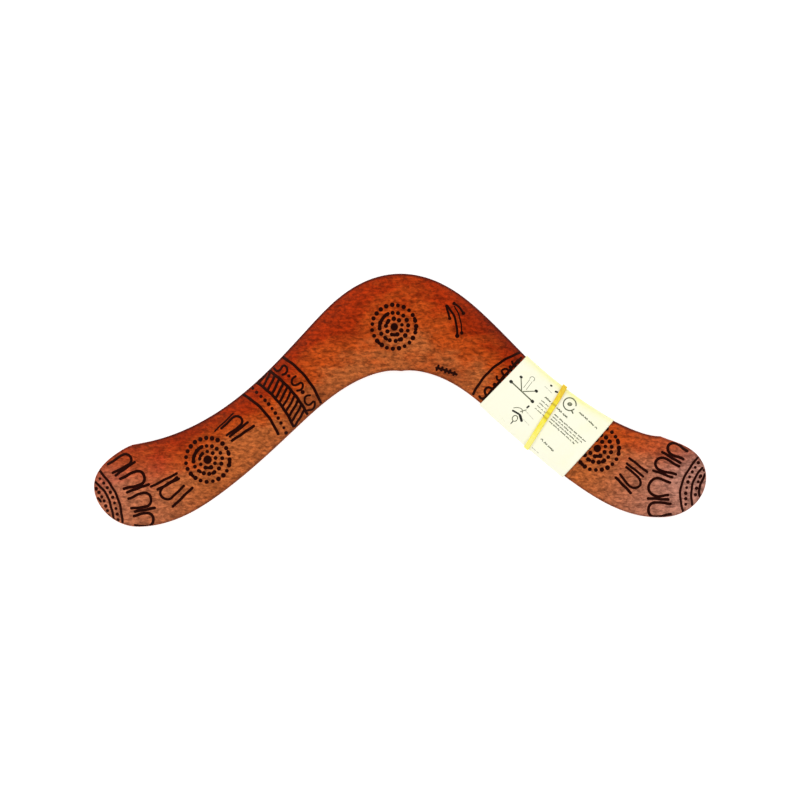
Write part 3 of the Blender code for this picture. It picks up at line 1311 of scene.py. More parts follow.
@dataclass
class RightTipMarks(BurntMarks):
    """Three arcs across the right tip, with rows of dots between them."""

    name: str = "right_tip_arcs"

    def draw(self) -> Pen:
        """The arcs and dots.

        Returns:
            The pen with its strokes.
        """
        pen = Pen(width=1.6, seed=12)
        pen.through((198.3, -42.8), (190.6, -52.6), (186.0, -63.0), (185.6, -70.5), (187.8, -80.0))
        pen.through((201.4, -49.6), (195.3, -57.4), (193.1, -65.0), (193.6, -75.6))
        pen.through((203.0, -54.0), (199.2, -61.6), (198.3, -67.4), (199.4, -70.2))
        pen.dots(9, 1.08, (198.3, -46.9), (191.4, -57.6), (189.2, -68.1), (189.3, -74.4))
        pen.dots(5, 1.1, (201.8, -51.9), (197.6, -59.8), (195.8, -68.2))
        pen.line((200.2, -54.4), (198.4, -57.6), width=1.7)
        return pen


class Side(Enum):
    """An arm, by the sign of its X."""

    LEFT = -1
    RIGHT = 1


@dataclass(frozen=True)
class Horseshoe:
    """One horseshoe and the straight line beside it, if it has one."""

    closed: Point
    heading: float
    leg: float
    half: Point
    beside: tuple[Point, Point] | None = None


@dataclass
class Horseshoes(BurntMarks):
    """Four horseshoes in a row across the end of an arm, open to the tip, with a line between each."""

    side: Side = Side.LEFT
    name: str = "left_horseshoes"

    def row(self) -> tuple[Horseshoe, ...]:
        """The arm's horseshoes, from the outer edge to the inner one.

        Returns:
            The four horseshoes.
        """
        if self.side is Side.LEFT:
            return (
                Horseshoe((-178.4, -35.8), 209.0, 16.5, (3.8, 3.3), ((-174.8, -38.6), (-189.3, -48.4))),
                Horseshoe((-169.4, -48.4), 199.0, 16.8, (4.7, 3.4), ((-165.4, -53.8), (-182.0, -59.5))),
                Horseshoe((-165.2, -63.2), 194.0, 15.6, (4.7, 3.3), ((-161.8, -69.8), (-177.2, -72.2))),
                Horseshoe((-164.0, -77.2), 184.5, 13.8, (4.5, 3.2)),
            )
        return (
            Horseshoe((178.4, -35.4), -29.5, 13.8, (4.0, 2.9), ((173.2, -38.8), (186.9, -47.3))),
            Horseshoe((169.7, -45.6), -23.0, 16.6, (4.3, 2.8), ((166.9, -51.0), (181.3, -56.6))),
            Horseshoe((164.6, -61.6), -9.5, 14.8, (6.0, 4.1), ((163.0, -69.7), (178.7, -71.0))),
            Horseshoe((164.2, -77.6), 1.5, 16.0, (4.9, 3.5)),
        )

    def draw(self) -> Pen:
        """The horseshoes and the lines.

        Returns:
            The pen with its strokes.
        """
        pen = Pen(width=1.8, seed=13 + self.side.value)
        for shoe in self.row():
            pen.horseshoe(shoe.closed, shoe.heading, shoe.leg, shoe.half)
            if shoe.beside:
                pen.line(*shoe.beside)
        return pen


@dataclass
class LeftArmMarks(BurntMarks):
    """Two seated-figure signs on the left arm: a horseshoe with lines beside it, one either side of the
    rosette."""

    name: str = "left_arm_signs"

    def draw(self) -> Pen:
        """The signs.

        Returns:
            The pen with its strokes.
        """
        pen = Pen(width=1.7, seed=15)
        pen.line((-146.8, -46.9), (-165.8, -56.2))
        pen.line((-145.4, -50.2), (-161.6, -58.2), width=1.9)
        pen.horseshoe((-157.9, -62.6), 38.0, 17.0, (4.5, 3.6))
        pen.line((-136.8, -56.2), (-151.6, -70.0))
        pen.line((-109.4, -8.0), (-122.6, -20.2), width=1.2)
        pen.horseshoe((-104.6, -11.4), 218.5, 15.4, (3.6, 2.9))
        pen.line((-99.3, -13.8), (-112.9, -24.1))
        pen.line((-95.2, -16.2), (-111.6, -26.9))
        return pen


@dataclass
class RightArmMarks(BurntMarks):
    """The seated-figure sign on the right arm."""

    name: str = "right_arm_sign"

    def draw(self) -> Pen:
        """The sign.

        Returns:
            The pen with its strokes.
        """
        pen = Pen(width=1.75, seed=16)
        pen.line((151.4, -42.3), (164.5, -53.0))
        pen.line((149.6, -45.8), (161.8, -55.8))
        pen.through(
            (149.2, -48.2), (154.2, -52.4), (158.3, -56.6), (158.9, -61.0), (155.8, -62.8),
            (151.4, -60.8), (145.5, -52.6)
        )
        pen.line((142.2, -54.8), (153.5, -66.8))
        return pen


@dataclass
class Rosette(BurntMarks):
    """Three rings of dots round a large one."""

    centre: Point = (0.0, 0.0)
    seed: int = 17
    name: str = "rosette"

    def draw(self) -> Pen:
        """The dots, some of which run together in short dashes.

        Returns:
            The pen with its strokes.
        """
        pen = Pen(width=2.2, seed=self.seed)
        pen.dot(self.centre, 2.5)
        pen.ring(self.centre, (5.4, 5.4), 9, 1.35, 12.0)
        pen.ring(self.centre, (9.5, 9.3), 16, 1.35, 5.0)
        pen.ring(self.centre, (14.6, 14.5), 23, 1.4, 0.0)
        for reach, span in ((5.3, (115.0, 165.0)), (5.3, (235.0, 290.0)), (9.4, (105.0, 185.0)),
                            (9.4, (222.0, 245.0)), (9.4, (282.0, 305.0)), (14.5, (212.0, 232.0)),
                            (14.5, (8.0, 26.0)), (14.5, (-14.0, -1.0))):
            pen.oval(self.centre, (reach, reach), 0.0, span)
        return pen


@dataclass
class CrossBand(BurntMarks):
    """A decorated band across an arm: four lines that bow to the elbow, with curls and dots between the
    first two, hatching between the next two, and a row of dots between the last two."""

    side: Side = Side.LEFT
    lines: tuple[tuple[Point, Point, float], ...] = ()
    curls: tuple[tuple[Point, ...], ...] = ()
    width: float = 1.9
    spots: tuple[Point, ...] = ()
    dot_row: tuple[Point, ...] = ()
    hatches: int = 11
    name: str = "cross_band"

    def _on(self, line: tuple[Point, Point, float], share: float) -> Point:
        """The point at a share of the way along one of the band's lines.

        Args:
            line: its two ends and its sag.
            share: the share of the way.

        Returns:
            The point.
        """
        begin, end, sag = np.array(line[0]), np.array(line[1]), line[2]
        way = end - begin
        left = np.array([-way[1], way[0]]) / np.hypot(*way)
        return tuple(begin + way * share + left * 4 * sag * share * (1 - share))

    def draw(self) -> Pen:
        """The band.

        Returns:
            The pen with its strokes.
        """
        pen = Pen(width=self.width, seed=20 + self.side.value)
        for start, end, sag in self.lines:
            pen.bow(start, end, sag)
        for curl in self.curls:
            pen.through(*curl, width=1.5)
        for place in self.spots:
            pen.dot(place, 1.25)
        for share in np.linspace(0.05, 0.99, self.hatches):
            low, high = self._on(self.lines[2], share), self._on(self.lines[1], max(0.0, share - 0.10))
            pen.bow(low, high, -0.3, width=1.7)
        pen.dots(11, 1.15, *self.dot_row)
        return pen


@dataclass
class Tracks(BurntMarks):
    """Two forked tracks right of the elbow's rosette, and a twig below them."""

    name: str = "tracks"

    def draw(self) -> Pen:
        """The tracks and the twig.

        Returns:
            The pen with its strokes.
        """
        pen = Pen(width=1.35, seed=33)
        pen.line((32.8, 61.0), (34.8, 51.8))
        pen.through((32.8, 61.0), (37.5, 54.2), (39.7, 40.6), width=1.5)
        pen.bow((37.4, 62.2), (44.1, 55.2), 0.7, width=1.5)
        pen.through((38.0, 60.4), (41.0, 54.1), (42.8, 42.0), width=1.0)
        pen.line((32.4, 61.2), (33.8, 58.4), width=2.2)
        pen.line((37.0, 62.6), (39.0, 61.2), width=2.6)
        for place in ((44.1, 55.2), (34.8, 51.9), (39.7, 40.3), (42.8, 42.0)):
            pen.dot(place, 1.25)
        pen.bow((24.6, 19.6), (39.6, 14.2), 0.4, width=1.6)
        for x, y, length in (
            (26.4, 19.4, 4.6),
            (29.2, 18.6, 3.6),
            (31.8, 17.4, 3.8),
            (34.4, 16.6, 3.4),
            (37.2, 15.4, 3.4),
        ):
            pen.line((x - 1.0, y - length / 2), (x + 0.8, y + length / 2), width=1.5)
        return pen


# --- The leaflet and the rubber band ----------------------------------------------------------------

# Places round the arm's wrap, at which one stretch of its section ends and the next one begins.
EDGE_FROM = 1
TOP_FROM = 5
TOP_TO = 21
EDGE_TO = 25
ROUND_TO = 26


@dataclass(frozen=True)
class ArmWrap:
    """The form that the leaflet and the band wrap: the right arm's section, with a half width and a
    middle that change along the arm. A place round it is q, from 0 to 26: on the underside up to 1, round
    the outer edge up to 5, over the top up to 21, round the inner edge up to 25, and back under."""

    shape: BladeShape
    point: Point = (97.5, -13.0)
    length: float = 72.5
    outer_reach: tuple[float, float, float] = (22.4, 21.6, 25.3)
    inner_reach: tuple[float, float, float] = (22.2, 24.1, 24.8)

    @property
    def angle(self) -> float:
        """Direction of the arm in degrees, from the joint that slides along it."""
        axis = frame["joints"][0]["axis"]
        return math.degrees(math.atan2(axis[1], axis[0]))

    def reach(self, sides: tuple[float, float, float], along: np.ndarray) -> np.ndarray:
        """A parabola through its three values, at the wrap's two ends and its middle.

        Args:
            sides: the values at the end by the elbow, the middle and the end by the tip.
            along: places along the arm, from the wrap's middle to the tip.

        Returns:
            The parabola's value at each place.
        """
        share = along / (self.length / 2)
        first, middle, last = sides
        return middle + (last - first) / 2 * share + ((last + first) / 2 - middle) * share**2

    def half(self, along: np.ndarray) -> np.ndarray:
        """The form's half width."""
        return (self.reach(self.outer_reach, along) + self.reach(self.inner_reach, along)) / 2

    def middle(self, along: np.ndarray) -> np.ndarray:
        """Distance of the form's middle from the arm's axis."""
        return (self.reach(self.outer_reach, along) - self.reach(self.inner_reach, along)) / 2

    def section(
        self, q: np.ndarray, half: np.ndarray, start: float, end: float
    ) -> tuple[np.ndarray, np.ndarray]:
        """The section's curve. Round an edge at angle a it is in by r (1 - cos a) and at height
        h (1 - sin a); over the top it is at the share (1 - c^2)^fullness from the edge to the crest.

        Args:
            q: places round the curve.
            half: half width, which broadcasts with q.
            start: distance across where the curve starts, underneath.
            end: distance across where it ends, underneath.

        Returns:
            Distance across and height over the blade's underside.
        """
        shape = self.shape
        q = np.broadcast_to(q, np.broadcast_shapes(np.shape(q), np.shape(half)))
        over = np.clip((q - TOP_FROM) / (TOP_TO - TOP_FROM), 0, 1) * math.pi
        crest = shape.crest_offset * half
        across = crest + np.where(over < math.pi / 2, half - crest, half + crest) * np.cos(over)
        leading = across / half
        low = shape.edge_height(leading)
        height = low + (shape.thick_arm - low) * np.sin(over) ** (2 * shape.fullness(leading))
        nearer = (TOP_FROM - q) / (TOP_FROM - EDGE_FROM)
        further = (q - TOP_TO) / (EDGE_TO - TOP_TO)
        under = np.clip(np.where(q < (TOP_FROM + TOP_TO) / 2, nearer, further), 0, 1) * math.pi / 2
        across = across - np.sign(across) * shape.under_rounding * (1 - np.cos(under))
        height = np.where(under > 0, low * (1 - np.sin(under)), height)
        flat = half - shape.under_rounding
        across = np.where(q < EDGE_FROM, start + (flat - start) * q, across)
        across = np.where(q > EDGE_TO, -flat + (end + flat) * (q - EDGE_TO), across)
        return across, np.where((q < EDGE_FROM) | (q > EDGE_TO), 0.0, height)

    def wound(self, q: np.ndarray) -> np.ndarray:
        """How far the wrap has climbed on to its own first layer, from 0 to 1."""
        return smooth_step(0.55, 0.9, q / ROUND_TO)

    def lifted(
        self, q: np.ndarray, along: np.ndarray, off: np.ndarray, start: float, end: float, ease: float = 0.0
    ) -> np.ndarray:
        """Points at a distance off the section's curve, along its outward normal.

        Args:
            q: places round the curve.
            along: places along the arm, from the wrap's middle to the tip.
            off: distances off the curve.
            start: where the curve starts, across the arm.
            end: where it ends.
            ease: further distance off, times how far the normal points sideways.

        Returns:
            Points in the arm's frame: along, across and height over the underside.
        """
        half = self.half(along)
        across, height = self.section(q, half, start, end)
        small = 0.02
        ahead = self.section(np.clip(q + small, 0, ROUND_TO), half, start, end)
        behind = self.section(np.clip(q - small, 0, ROUND_TO), half, start, end)
        step = np.stack([ahead[0] - behind[0], ahead[1] - behind[1]], axis=-1)
        step /= np.maximum(np.hypot(step[..., 0], step[..., 1]), 1e-9)[..., None]
        off = off + ease * np.abs(step[..., 1])
        across = self.middle(along) + across + off * step[..., 1]
        return np.stack([np.broadcast_to(along, across.shape), across, height - off * step[..., 0]], axis=-1)

    def place(self, points: np.ndarray) -> np.ndarray:
        """Points of the arm's frame in the blade's.

        Args:
            points: rows of along, across and height.

        Returns:
            Rows of x, y and z in millimetres.
        """
        flat = points.reshape(-1, 3)
        plan = turned(flat[:, :2], self.angle) + np.array(self.point)
        return np.column_stack([plan, flat[:, 2] + self.shape.underside])


@dataclass(frozen=True)
class PaperLayers:
    """Thicknesses and gaps of the wrap."""

    gap: float = 0.3
    paper: float = 0.2
    layer_gap: float = 0.1


@dataclass
class Leaflet:
    """The printed leaflet: one sheet round the arm, whose ends overlap underneath."""

    wrap: ArmWrap
    finish: bpy.types.Material
    layers: PaperLayers = PaperLayers()
    skew_elbow: float = 4.0
    skew_tip: float = 2.5
    overlap_half: float = 7.0
    rows: int = 73
    buckle: float = 0.07
    lip: float = 0.10
    name: str = "paper_leaflet"

    def _round(self) -> np.ndarray:
        """Places round the wrap, closest together where it bends.

        Returns:
            Rising places from 0 to 26.
        """
        spans = (
            (0, EDGE_FROM, 12),
            (EDGE_FROM, TOP_FROM, 16),
            (TOP_FROM, TOP_TO, 96),
            (TOP_TO, EDGE_TO, 16),
        )
        parts = [np.linspace(low, high, count, endpoint=False) for low, high, count in spans]
        return np.concatenate([*parts, np.linspace(EDGE_TO, ROUND_TO, 13)])

    def _relief(self, q: np.ndarray, along: np.ndarray) -> np.ndarray:
        """How far the sheet stands off: long shallow waves on the top, and a lip at its two ends.

        Args:
            q: places round the wrap.
            along: places along the arm.

        Returns:
            The distance at each.
        """
        top = smooth_step(6, 9, q) * (1 - smooth_step(17, 20, q))
        waves = 0.5 + 0.5 * np.sin(along / 9.5 + q / 2.1) * np.sin(q / 1.9 - along / 23 + 0.8)
        ends = self.wrap.length / 2 - np.abs(along)
        return self.buckle * top * waves + self.lip * top * (1 - smooth_step(0, 3.5, ends))

    def surface(self, q: np.ndarray, along: np.ndarray, lift: np.ndarray) -> np.ndarray:
        """Points at a lift over the sheet's outer face, before its ends are cut askew.

        Args:
            q: places round the wrap.
            along: places along the arm.
            lift: distance off the outer face.

        Returns:
            Points in the arm's frame.
        """
        layers = self.layers
        off = layers.gap + (layers.paper + layers.layer_gap) * self.wrap.wound(q) + layers.paper
        off = off + self._relief(q, along) + lift
        return self.wrap.lifted(q, along, off, -self.overlap_half, self.overlap_half)

    def build(self) -> bpy.types.Object:
        """The sheet as a closed shell: its outer face round the arm and its inner face back, in rows along
        the arm that are each moved forward by skew times the distance across.

        Returns:
            The leaflet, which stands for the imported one.
        """
        q = self._round()
        along = np.linspace(-0.5, 0.5, self.rows)[:, None] * self.wrap.length
        outside = self.surface(q[None, :], along, 0.0)
        inside = self.surface(q[None, :], along, -self.layers.paper)
        points = np.concatenate([outside, inside[:, ::-1]], axis=1)
        part = along[:, 0] / self.wrap.length + 0.5
        skew = self.skew_elbow + (self.skew_tip - self.skew_elbow) * part
        skew = skew / (2 * self.wrap.half(along[:, 0]))
        points[:, :, 0] += skew[:, None] * (points[:, :, 1] - self.wrap.middle(along))
        rows, columns = points.shape[:2]
        faces = tube_faces(rows, columns) + across_faces(0, columns, True)
        faces += across_faces((rows - 1) * columns, columns, False)
        # where the painted shade lies: where the sheet bends down over the arm's outer edge, along the arm
        fold_shade = np.exp(-(((q[None, :] - 6.8) / 1.5) ** 2)) * (0.75 + 0.25 * np.cos(along / 14))
        whole = np.concatenate([fold_shade, fold_shade[:, ::-1]], axis=1)
        piece = Piece(self.name, Body.LEAFLET, Slot.PAPER, self.finish)
        made = piece.lay(self.wrap.place(points), faces, {"fold_shade": whole.ravel()})
        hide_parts("leaflet")
        return made


@dataclass
class Print:
    """Printed marks on the leaflet's top, drawn in the arm's frame. A subclass draws them."""

    leaflet: Leaflet
    finish: bpy.types.Material
    name: str = "print"
    form: StrokeForm = StrokeForm(core=0.03, below=0.03, spread=1.0, spacing=0.4, foot=0.97, tangent=0.1)

    def draw(self) -> Pen:
        """The printed strokes."""
        raise NotImplementedError

    def build(self) -> bpy.types.Object:
        """Lay the strokes on the sheet. The place round the sheet comes from the distance across by the
        section's own cosine, corrected once for the sheet's distance off the curve.

        Returns:
            The print as one object.
        """
        wrap = self.leaflet.wrap
        plan, height, _, faces = self.form.lenses(self.draw().drawn)
        along, across = plan[:, 0], plan[:, 1]
        half = wrap.half(along)
        crest = wrap.shape.crest_offset * half
        wanted = across - wrap.middle(along)
        for _ in range(3):
            reach = np.where(wanted > crest, half - crest, half + crest)
            share = np.clip((wanted - crest) / reach, -0.999, 0.999)
            q = TOP_FROM + (TOP_TO - TOP_FROM) / math.pi * np.arccos(share)
            miss = across - self.leaflet.surface(q, along, 0.0)[:, 1]
            wanted = wanted + miss
        points = wrap.place(self.leaflet.surface(q, along, height))
        return Piece(self.name, Body.LEAFLET, Slot.PAPER, self.finish).lay(points, faces, {})


@dataclass
class PrintedDiagrams(Print):
    """The black parts of the throwing diagrams: the ends of a fan of directions and a tilted wing."""

    name: str = "printed_diagrams"

    def draw(self) -> Pen:
        """The diagrams.

        Returns:
            The pen with its strokes.
        """
        pen = Pen(width=0.9, seed=41, waver=0.0)
        for place in ((-31.8, 2.5), (-12.7, 1.1), (-28.5, 9.0), (-14.9, 7.9)):
            pen.dot(place, 1.0)
        pen.line((-30.9, 2.4), (-29.0, 2.2), width=0.8)
        pen.line((-13.6, 1.2), (-15.6, 1.4), width=0.8)
        pen.line((-19.4, -11.9), (-13.6, -10.9), width=1.5)
        pen.line((-13.9, -10.7), (-9.2, -13.9), width=2.1)
        pen.line((-12.3, -2.3), (-12.8, -4.9), width=1.2)
        pen.line((-14.2, -17.0), (-14.3, -19.8), width=1.1)
        pen.line((-10.2, 17.0), (-8.4, 17.2), width=1.2)
        pen.line((-5.2, 15.7), (-2.9, 16.4), width=1.3)
        return pen


@dataclass
class PrintedLines(Print):
    """The diagrams' grey lines, the heading and the captions."""

    name: str = "printed_lines"

    def draw(self) -> Pen:
        """The lines and the larger print.

        Returns:
            The pen with its strokes.
        """
        pen = Pen(width=0.75, seed=42, waver=0.0)
        pen.line((-31.6, 2.4), (-12.9, 1.1), width=0.85)
        pen.line((-22.4, 1.9), (-28.3, 8.6), width=0.7)
        pen.line((-21.6, 2.2), (-15.0, 7.8), width=0.7)
        pen.oval((7.9, 15.2), (4.3, 4.2), 0.0, (20.0, 355.0))
        pen.oval((7.9, 15.2), (1.3, 0.9), 30.0)
        pen.line((6.4, 14.4), (9.5, 16.0), width=0.7)
        pen.line((11.3, 12.8), (13.6, 11.6), width=0.9)
        pen.through((-19.6, -10.2), (-17.2, -8.0), (-14.4, -7.4), (-12.8, -9.4), width=0.5)
        pen.oval((-14.4, -14.9), (1.7, 2.0), 10.0)
        pen.line((-14.6, -9.4), (-12.0, -5.6), width=0.6)
        pen.words((-7.8, 8.7), (14.6, 7.0), 1.6, 0.62)
        pen.words((16.2, 15.0), (32.2, 14.0), 1.5, 0.58)
        pen.words((7.4, -14.6), (21.2, -16.0), 1.5, 0.58)
        return pen


@dataclass
class PrintedText(Print):
    """Print too small to read, in rows along the arm, and the faintest lines."""

    name: str = "printed_text"

    def draw(self) -> Pen:
        """A paragraph either side of the band, and notes by the inner edge.

        Returns:
            The pen with its strokes.
        """
        pen = Pen(width=0.45, seed=43, waver=0.0)
        for row in range(4):
            pen.words((-8.4, 5.4 - 2.2 * row), (-0.6, 5.0 - 2.2 * row), 1.1, 0.40)
        for row in range(4):
            pen.words((4.2, 3.6 - 1.9 * row), (31.6 - 1.6 * row, 2.4 - 1.9 * row), 1.2, 0.50)
        pen.words((6.6, -22.6), (13.4, -23.0), 0.9, 0.26)
        pen.words((-12.0, -6.6), (-4.6, -7.8), 0.8, 0.18)
        pen.words((-10.0, -11.8), (-4.2, -12.6), 0.8, 0.18)
        pen.words((-12.4, 14.0), (-6.0, 13.4), 0.8, 0.20)
        pen.line((-22.8, 4.4), (-23.0, 11.4), width=0.35)
        pen.line((-20.6, 4.4), (-20.8, 11.4), width=0.35)
        pen.through((-23.4, 11.6), (-23.2, 13.6), (-20.8, 13.8), (-20.4, 11.8), width=0.5)
        pen.words((-32.6, -18.6), (-25.8, -19.6), 0.9, 0.24)
        pen.words((-24.4, -19.8), (-18.2, -20.6), 0.8, 0.22)
        pen.line((-24.8, 20.4), (-23.6, 20.4), width=0.7)
        return pen


@dataclass
class RubberBand:
    """The rubber band: a flat strip with rounded edges, in a ring round the leaflet."""

    wrap: ArmWrap
    finish: bpy.types.Material
    layers: PaperLayers = PaperLayers()
    thick: float = 0.7
    width: float = 3.5
    corner: float = 0.28
    tilt: float = 6.6
    along: float = 0.9
    side_ease: float = 0.15
    section_points: int = 20
    print_across: tuple[tuple[float, float, float], ...] = (
        (8.3, 0.7, 0.75),
        (5.2, 0.4, 0.3),
        (1.6, 0.7, 0.7),
        (-1.9, 0.8, 0.75),
    )
    name: str = "yellow_band"

    def _profile(self) -> tuple[np.ndarray, np.ndarray]:
        """The strip's section: a rectangle whose corners are quarters of a circle, as distance across the
        strip and height from its inner face.

        Returns:
            Distances across and heights.
        """
        turn = np.linspace(0, 2 * math.pi, self.section_points, endpoint=False)
        turn = turn + math.pi / self.section_points
        cos, sin = np.cos(turn), np.sin(turn)
        flat_side = np.sign(cos) * (self.width / 2 - self.corner) * np.minimum(1, np.abs(cos) * 1.6)
        flat_level = np.sign(sin) * (self.thick / 2 - self.corner) * np.minimum(1, np.abs(sin) * 3)
        side = flat_side + self.corner * cos
        level = self.thick / 2 + flat_level + self.corner * sin
        return side, level

    def build(self) -> bpy.types.Object:
        """The profile carried round the wrap at the band's tilt.

        Returns:
            The band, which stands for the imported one.
        """
        spans = (
            (0, EDGE_FROM, 24),
            (EDGE_FROM, TOP_FROM, 20),
            (TOP_FROM, TOP_TO, 110),
            (TOP_TO, EDGE_TO, 20),
            (EDGE_TO, ROUND_TO, 24),
        )
        parts = [np.linspace(low, high, count, endpoint=False) for low, high, count in spans]
        q = np.concatenate(parts)[:, None]
        side, level = self._profile()
        layers = self.layers
        under = 1 - smooth_step(EDGE_FROM, TOP_FROM, q)
        stack = (layers.paper + layers.layer_gap) * np.maximum(self.wrap.wound(q), under)
        base = layers.gap + layers.paper + stack + layers.gap
        at = np.full_like(q, self.along)
        points = self.wrap.lifted(q, at, base + level[None, :], 0.0, 0.0, self.side_ease)
        curve = self.wrap.lifted(q, at, base, 0.0, 0.0, self.side_ease)
        sway = 0.12 * np.sin(q * 2 * math.pi * 3 / ROUND_TO)
        points[..., 0] += side[None, :] + sway - points[..., 1] * math.tan(math.radians(self.tilt))
        across = curve[:, 0, 1]
        rows, columns = points.shape[:2]
        faces = tube_faces(rows, columns)
        joined = np.arange(columns) + (rows - 1) * columns
        following = (np.arange(columns) + 1) % columns
        closing = np.stack([joined, joined[following], following, np.arange(columns)], axis=1)
        faces += list(map(tuple, closing.tolist()))
        top = smooth_step(7, 9, q[:, 0]) * (1 - smooth_step(17, 19, q[:, 0]))
        tone = 0.5 + 0.5 * np.clip(across / 22, -1, 1)
        shown = sum(
            depth * np.exp(-(((across - centre) / size) ** 2)) for centre, size, depth in self.print_across
        )
        rounded = np.tile(np.abs(side) > self.width / 2 - self.corner, rows)
        outward = np.tile(level > self.thick / 2, rows)
        numbers = {
            # painted shade: the strip's rounded edges get a higher tone, so a deeper orange
            "tone": np.repeat(tone, columns) + 0.30 * rounded,
            "print": np.repeat(np.clip(shown * top, 0, 1), columns) * outward,
        }
        piece = Piece(self.name, Body.BAND, Slot.RUBBER, self.finish)
        made = piece.lay(self.wrap.place(points), faces, numbers)
        self._unroll(made.data, chord_lengths(curve[:, 0, 1:]), side, columns)
        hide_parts("rubber_band")
        return made

    def _unroll(self, mesh: bpy.types.Mesh, run: np.ndarray, side: np.ndarray, columns: int) -> None:
        """Give the mesh a UV map in millimetres: the run round the ring, and the place across the strip.

        Args:
            mesh: the band's mesh.
            run: distance round the ring of each row.
            side: place across the strip of each column.
            columns: points in a row.
        """
        corner = np.empty(len(mesh.loops), np.int32)
        mesh.loops.foreach_get("vertex_index", corner)
        uv = np.stack([run[corner // columns], side[corner % columns]], axis=1)
        mesh.uv_layers.new(name="strip").data.foreach_set("uv", uv.astype(np.float32).ravel())


# --- The studio -------------------------------------------------------------------------------------


@dataclass
class Studio:
    """A white floor, soft light from large panels, and a camera that looks straight down."""

    floor_half: float = 3000.0
    floor_drop: float = 0.3
    surroundings: float = 0.28
    camera_height: float = 1600.0
    camera_roll: float = -1.1
    frame_width: float = 530.7
    sensor: float = 36.0
    aim: Point = (1.0, -1.5)

    def build(self) -> None:
        """Floor, lights, world and camera."""
        self._floor()
        for name, x, y, power in (
            ("upper_left_panel", -1100.0, 1100.0, 16.5),
            ("upper_right_panel", 1100.0, 1100.0, 13.0),
            ("lower_right_panel", 1100.0, -1100.0, 11.5),
            ("lower_left_panel", -1100.0, -1100.0, 13.5),
        ):
            self._light(name, (x, y, 1150.0), 1000.0, power)
        self._world()
        self._camera()

    def _floor(self) -> None:
        """A square grid just below the object."""
        level = CAD_BOX[0].z / MM - self.floor_drop
        steps = np.linspace(-self.floor_half, self.floor_half, 13)
        x, y = np.meshgrid(steps, steps)
        points = np.column_stack([x.ravel(), y.ravel(), np.full(x.size, level)])
        row, column = np.mgrid[0:12, 0:12]
        first = (row * 13 + column).ravel()
        faces = np.stack([first, first + 1, first + 14, first + 13], axis=1)
        mesh = bpy.data.meshes.new("floor")
        mesh.from_pydata((points * MM).tolist(), [], faces.tolist())
        mesh.materials.append(StudioWhite().material())
        made = bpy.data.objects.new("floor", mesh)
        bpy.context.scene.collection.objects.link(made)
        made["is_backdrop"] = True

    def _light(self, name: str, place: tuple[float, float, float], size: float, power: float) -> None:
        """A square panel that faces the object.

        Args:
            name: the panel's name.
            place: its middle, in millimetres.
            size: its side, in millimetres.
            power: in watts.
        """
        panel = bpy.data.lights.new(name, "AREA")
        panel.shape = "SQUARE"
        panel.size = size * MM
        panel.energy = power
        made = bpy.data.objects.new(name, panel)
        made.location = [value * MM for value in place]
        made.rotation_euler = (-made.location).to_track_quat("-Z", "Y").to_euler()
        bpy.context.scene.collection.objects.link(made)

    def _world(self) -> None:
        """Even white surroundings, and colours shown as they are."""
        world = bpy.data.worlds.new("studio")
        world.use_nodes = True
        world.node_tree.nodes["Background"].inputs["Color"].default_value = (1.0, 1.0, 1.0, 1.0)
        world.node_tree.nodes["Background"].inputs["Strength"].default_value = self.surroundings
        bpy.context.scene.world = world
        bpy.context.scene.view_settings.view_transform = "Standard"

    def _camera(self) -> None:
        """A long lens whose frame has the given width at the blade."""
        lens = bpy.data.cameras.new("camera")
        lens.sensor_width = self.sensor
        top = CAD_BOX[1].z / MM / 2
        lens.lens = self.sensor * (self.camera_height - top) / self.frame_width
        lens.clip_end = 20.0
        made = bpy.data.objects.new("camera", lens)
        made.location = (self.aim[0] * MM, self.aim[1] * MM, self.camera_height * MM)
        made.rotation_euler = (0.0, 0.0, math.radians(self.camera_roll))
        bpy.context.scene.collection.objects.link(made)
        bpy.context.scene.camera = made


# --- The whole --------------------------------------------------------------------------------------


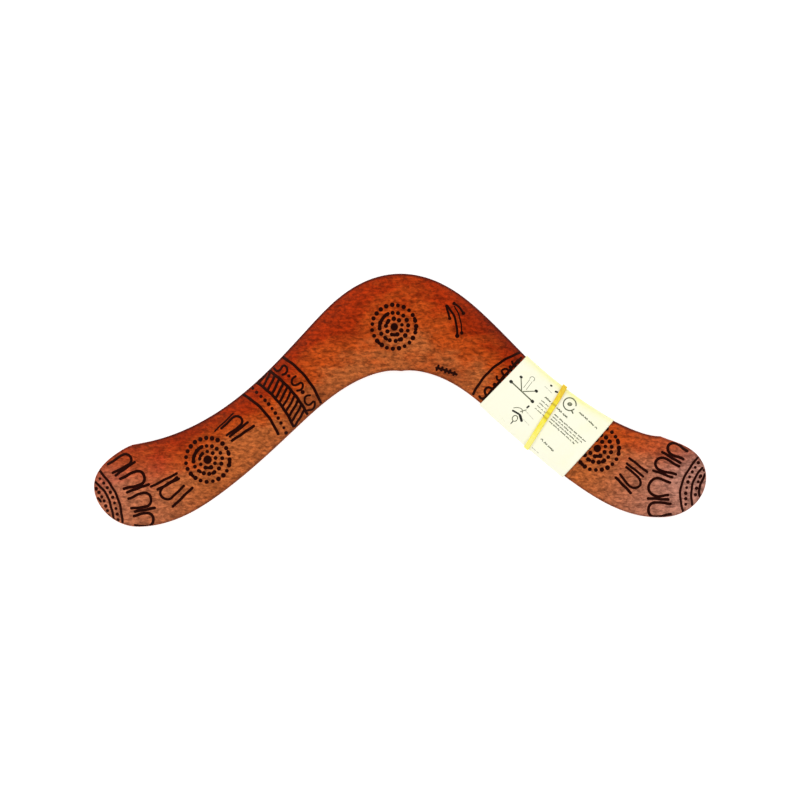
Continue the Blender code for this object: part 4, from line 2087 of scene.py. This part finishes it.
def blade_marks(shape: BladeShape, wood: bpy.types.Material) -> list[BurntMarks]:
    """Every group of burnt marks, from the left tip to the right one.

    Args:
        shape: the blade that they lie on.
        wood: the blade's finish.

    Returns:
        The groups, not yet built.
    """
    return [
        LeftTipMarks(shape, wood),
        Horseshoes(shape, wood, side=Side.LEFT, name="left_horseshoes"),
        LeftArmMarks(shape, wood),
        Rosette(shape, wood, centre=(-127.0, -38.6), seed=17, name="left_rosette"),
        CrossBand(
            shape,
            wood,
            side=Side.LEFT,
            name="left_cross_band",
            lines=(
                ((-76.8, 28.8), (-51.3, -3.2), 3.6),
                ((-86.2, 20.2), (-60.2, -10.4), 2.6),
                ((-94.6, 12.4), (-69.6, -18.6), 3.2),
                ((-104.0, 4.6), (-79.8, -23.6), 3.5),
            ),
            curls=(
                (
                    (-82.4, 22.0), (-81.0, 19.8), (-78.4, 19.8), (-75.6, 22.8),
                    (-73.5, 21.4), (-74.0, 18.2), (-77.4, 16.6),
                ),
                (
                    (-66.9, 15.8), (-70.6, 12.4), (-69.6, 9.9), (-66.6, 10.2),
                    (-63.8, 11.0), (-63.4, 7.6), (-67.8, 6.0),
                ),
                (
                    (-57.6, 2.6), (-61.4, 2.0), (-62.0, -1.8), (-59.2, -3.5),
                    (-56.0, -1.2), (-56.4, -6.0), (-61.0, -7.0),
                ),
            ),
            spots=((-72.4, 15.9), (-63.3, 4.9)),
            dot_row=((-96.6, 8.0), (-83.9, -5.4), (-74.8, -22.0)),
        ),
        Rosette(shape, wood, centre=(-2.0, 47.0), seed=19, name="elbow_rosette"),
        Tracks(shape, wood),
        CrossBand(
            shape,
            wood,
            side=Side.RIGHT,
            name="right_cross_band",
            lines=(
                ((49.2, 0.6), (81.6, 28.4), 4.6),
                ((55.8, -3.2), (82.6, 25.6), 0.4),
                ((69.7, -18.1), (93.6, 11.2), 3.5),
                ((80.0, -22.8), (103.4, 4.4), 3.5),
            ),
            curls=(
                (
                    (53.4, 0.8), (54.8, -1.6), (57.8, -0.2), (57.4, 3.6),
                    (59.4, 5.9), (62.6, 4.2),
                ),
                (
                    (65.6, 13.8), (65.8, 10.6), (68.4, 10.6), (70.0, 13.4),
                    (68.8, 16.4), (71.4, 17.9), (73.6, 16.2),
                ),
                ((75.4, 23.4), (76.6, 20.2), (78.8, 22.8), (80.6, 24.0)),
            ),
            width=1.6,
            spots=((63.9, 7.6), (74.4, 18.9)),
            dot_row=((75.0, -21.8), (84.2, -6.4), (96.2, 7.9)),
        ),
        Rosette(shape, wood, centre=(130.9, -36.0), seed=18, name="right_rosette"),
        RightArmMarks(shape, wood),
        Horseshoes(shape, wood, side=Side.RIGHT, name="right_horseshoes"),
        RightTipMarks(shape, wood),
    ]


def report_sizes() -> None:
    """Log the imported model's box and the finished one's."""
    boxes = {"cad": CAD_BOX, "visual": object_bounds()}
    for name, box in boxes.items():
        LOG.info("%s box: %s to %s mm", name, *([round(v / MM, 3) for v in corner] for corner in box))


def main() -> None:
    """Build the studio, the blade and its marks, the leaflet and its print, and the rubber band."""
    logging.basicConfig(level=logging.INFO, format="%(name)s: %(message)s")
    Studio().build()
    shape = BladeShape()
    wood = StainedWood().material()
    Blade(shape, wood).build()
    for marks in blade_marks(shape, wood):
        marks.build()
    wrap = ArmWrap(shape)
    leaflet = Leaflet(wrap, PrintedPaper().material())
    leaflet.build()
    black = PrintingInk("black_ink", (0.008, 0.010, 0.006), (0.03, 0.03, 0.02)).material()
    grey = PrintingInk("grey_ink", (0.09, 0.10, 0.055), (0.20, 0.21, 0.12)).material()
    for printed in (PrintedDiagrams(leaflet, black), PrintedLines(leaflet, grey), PrintedText(leaflet, grey)):
        printed.build()
    RubberBand(wrap, YellowRubber().material()).build()
    report_sizes()


if __name__ == "__main__":
    main()
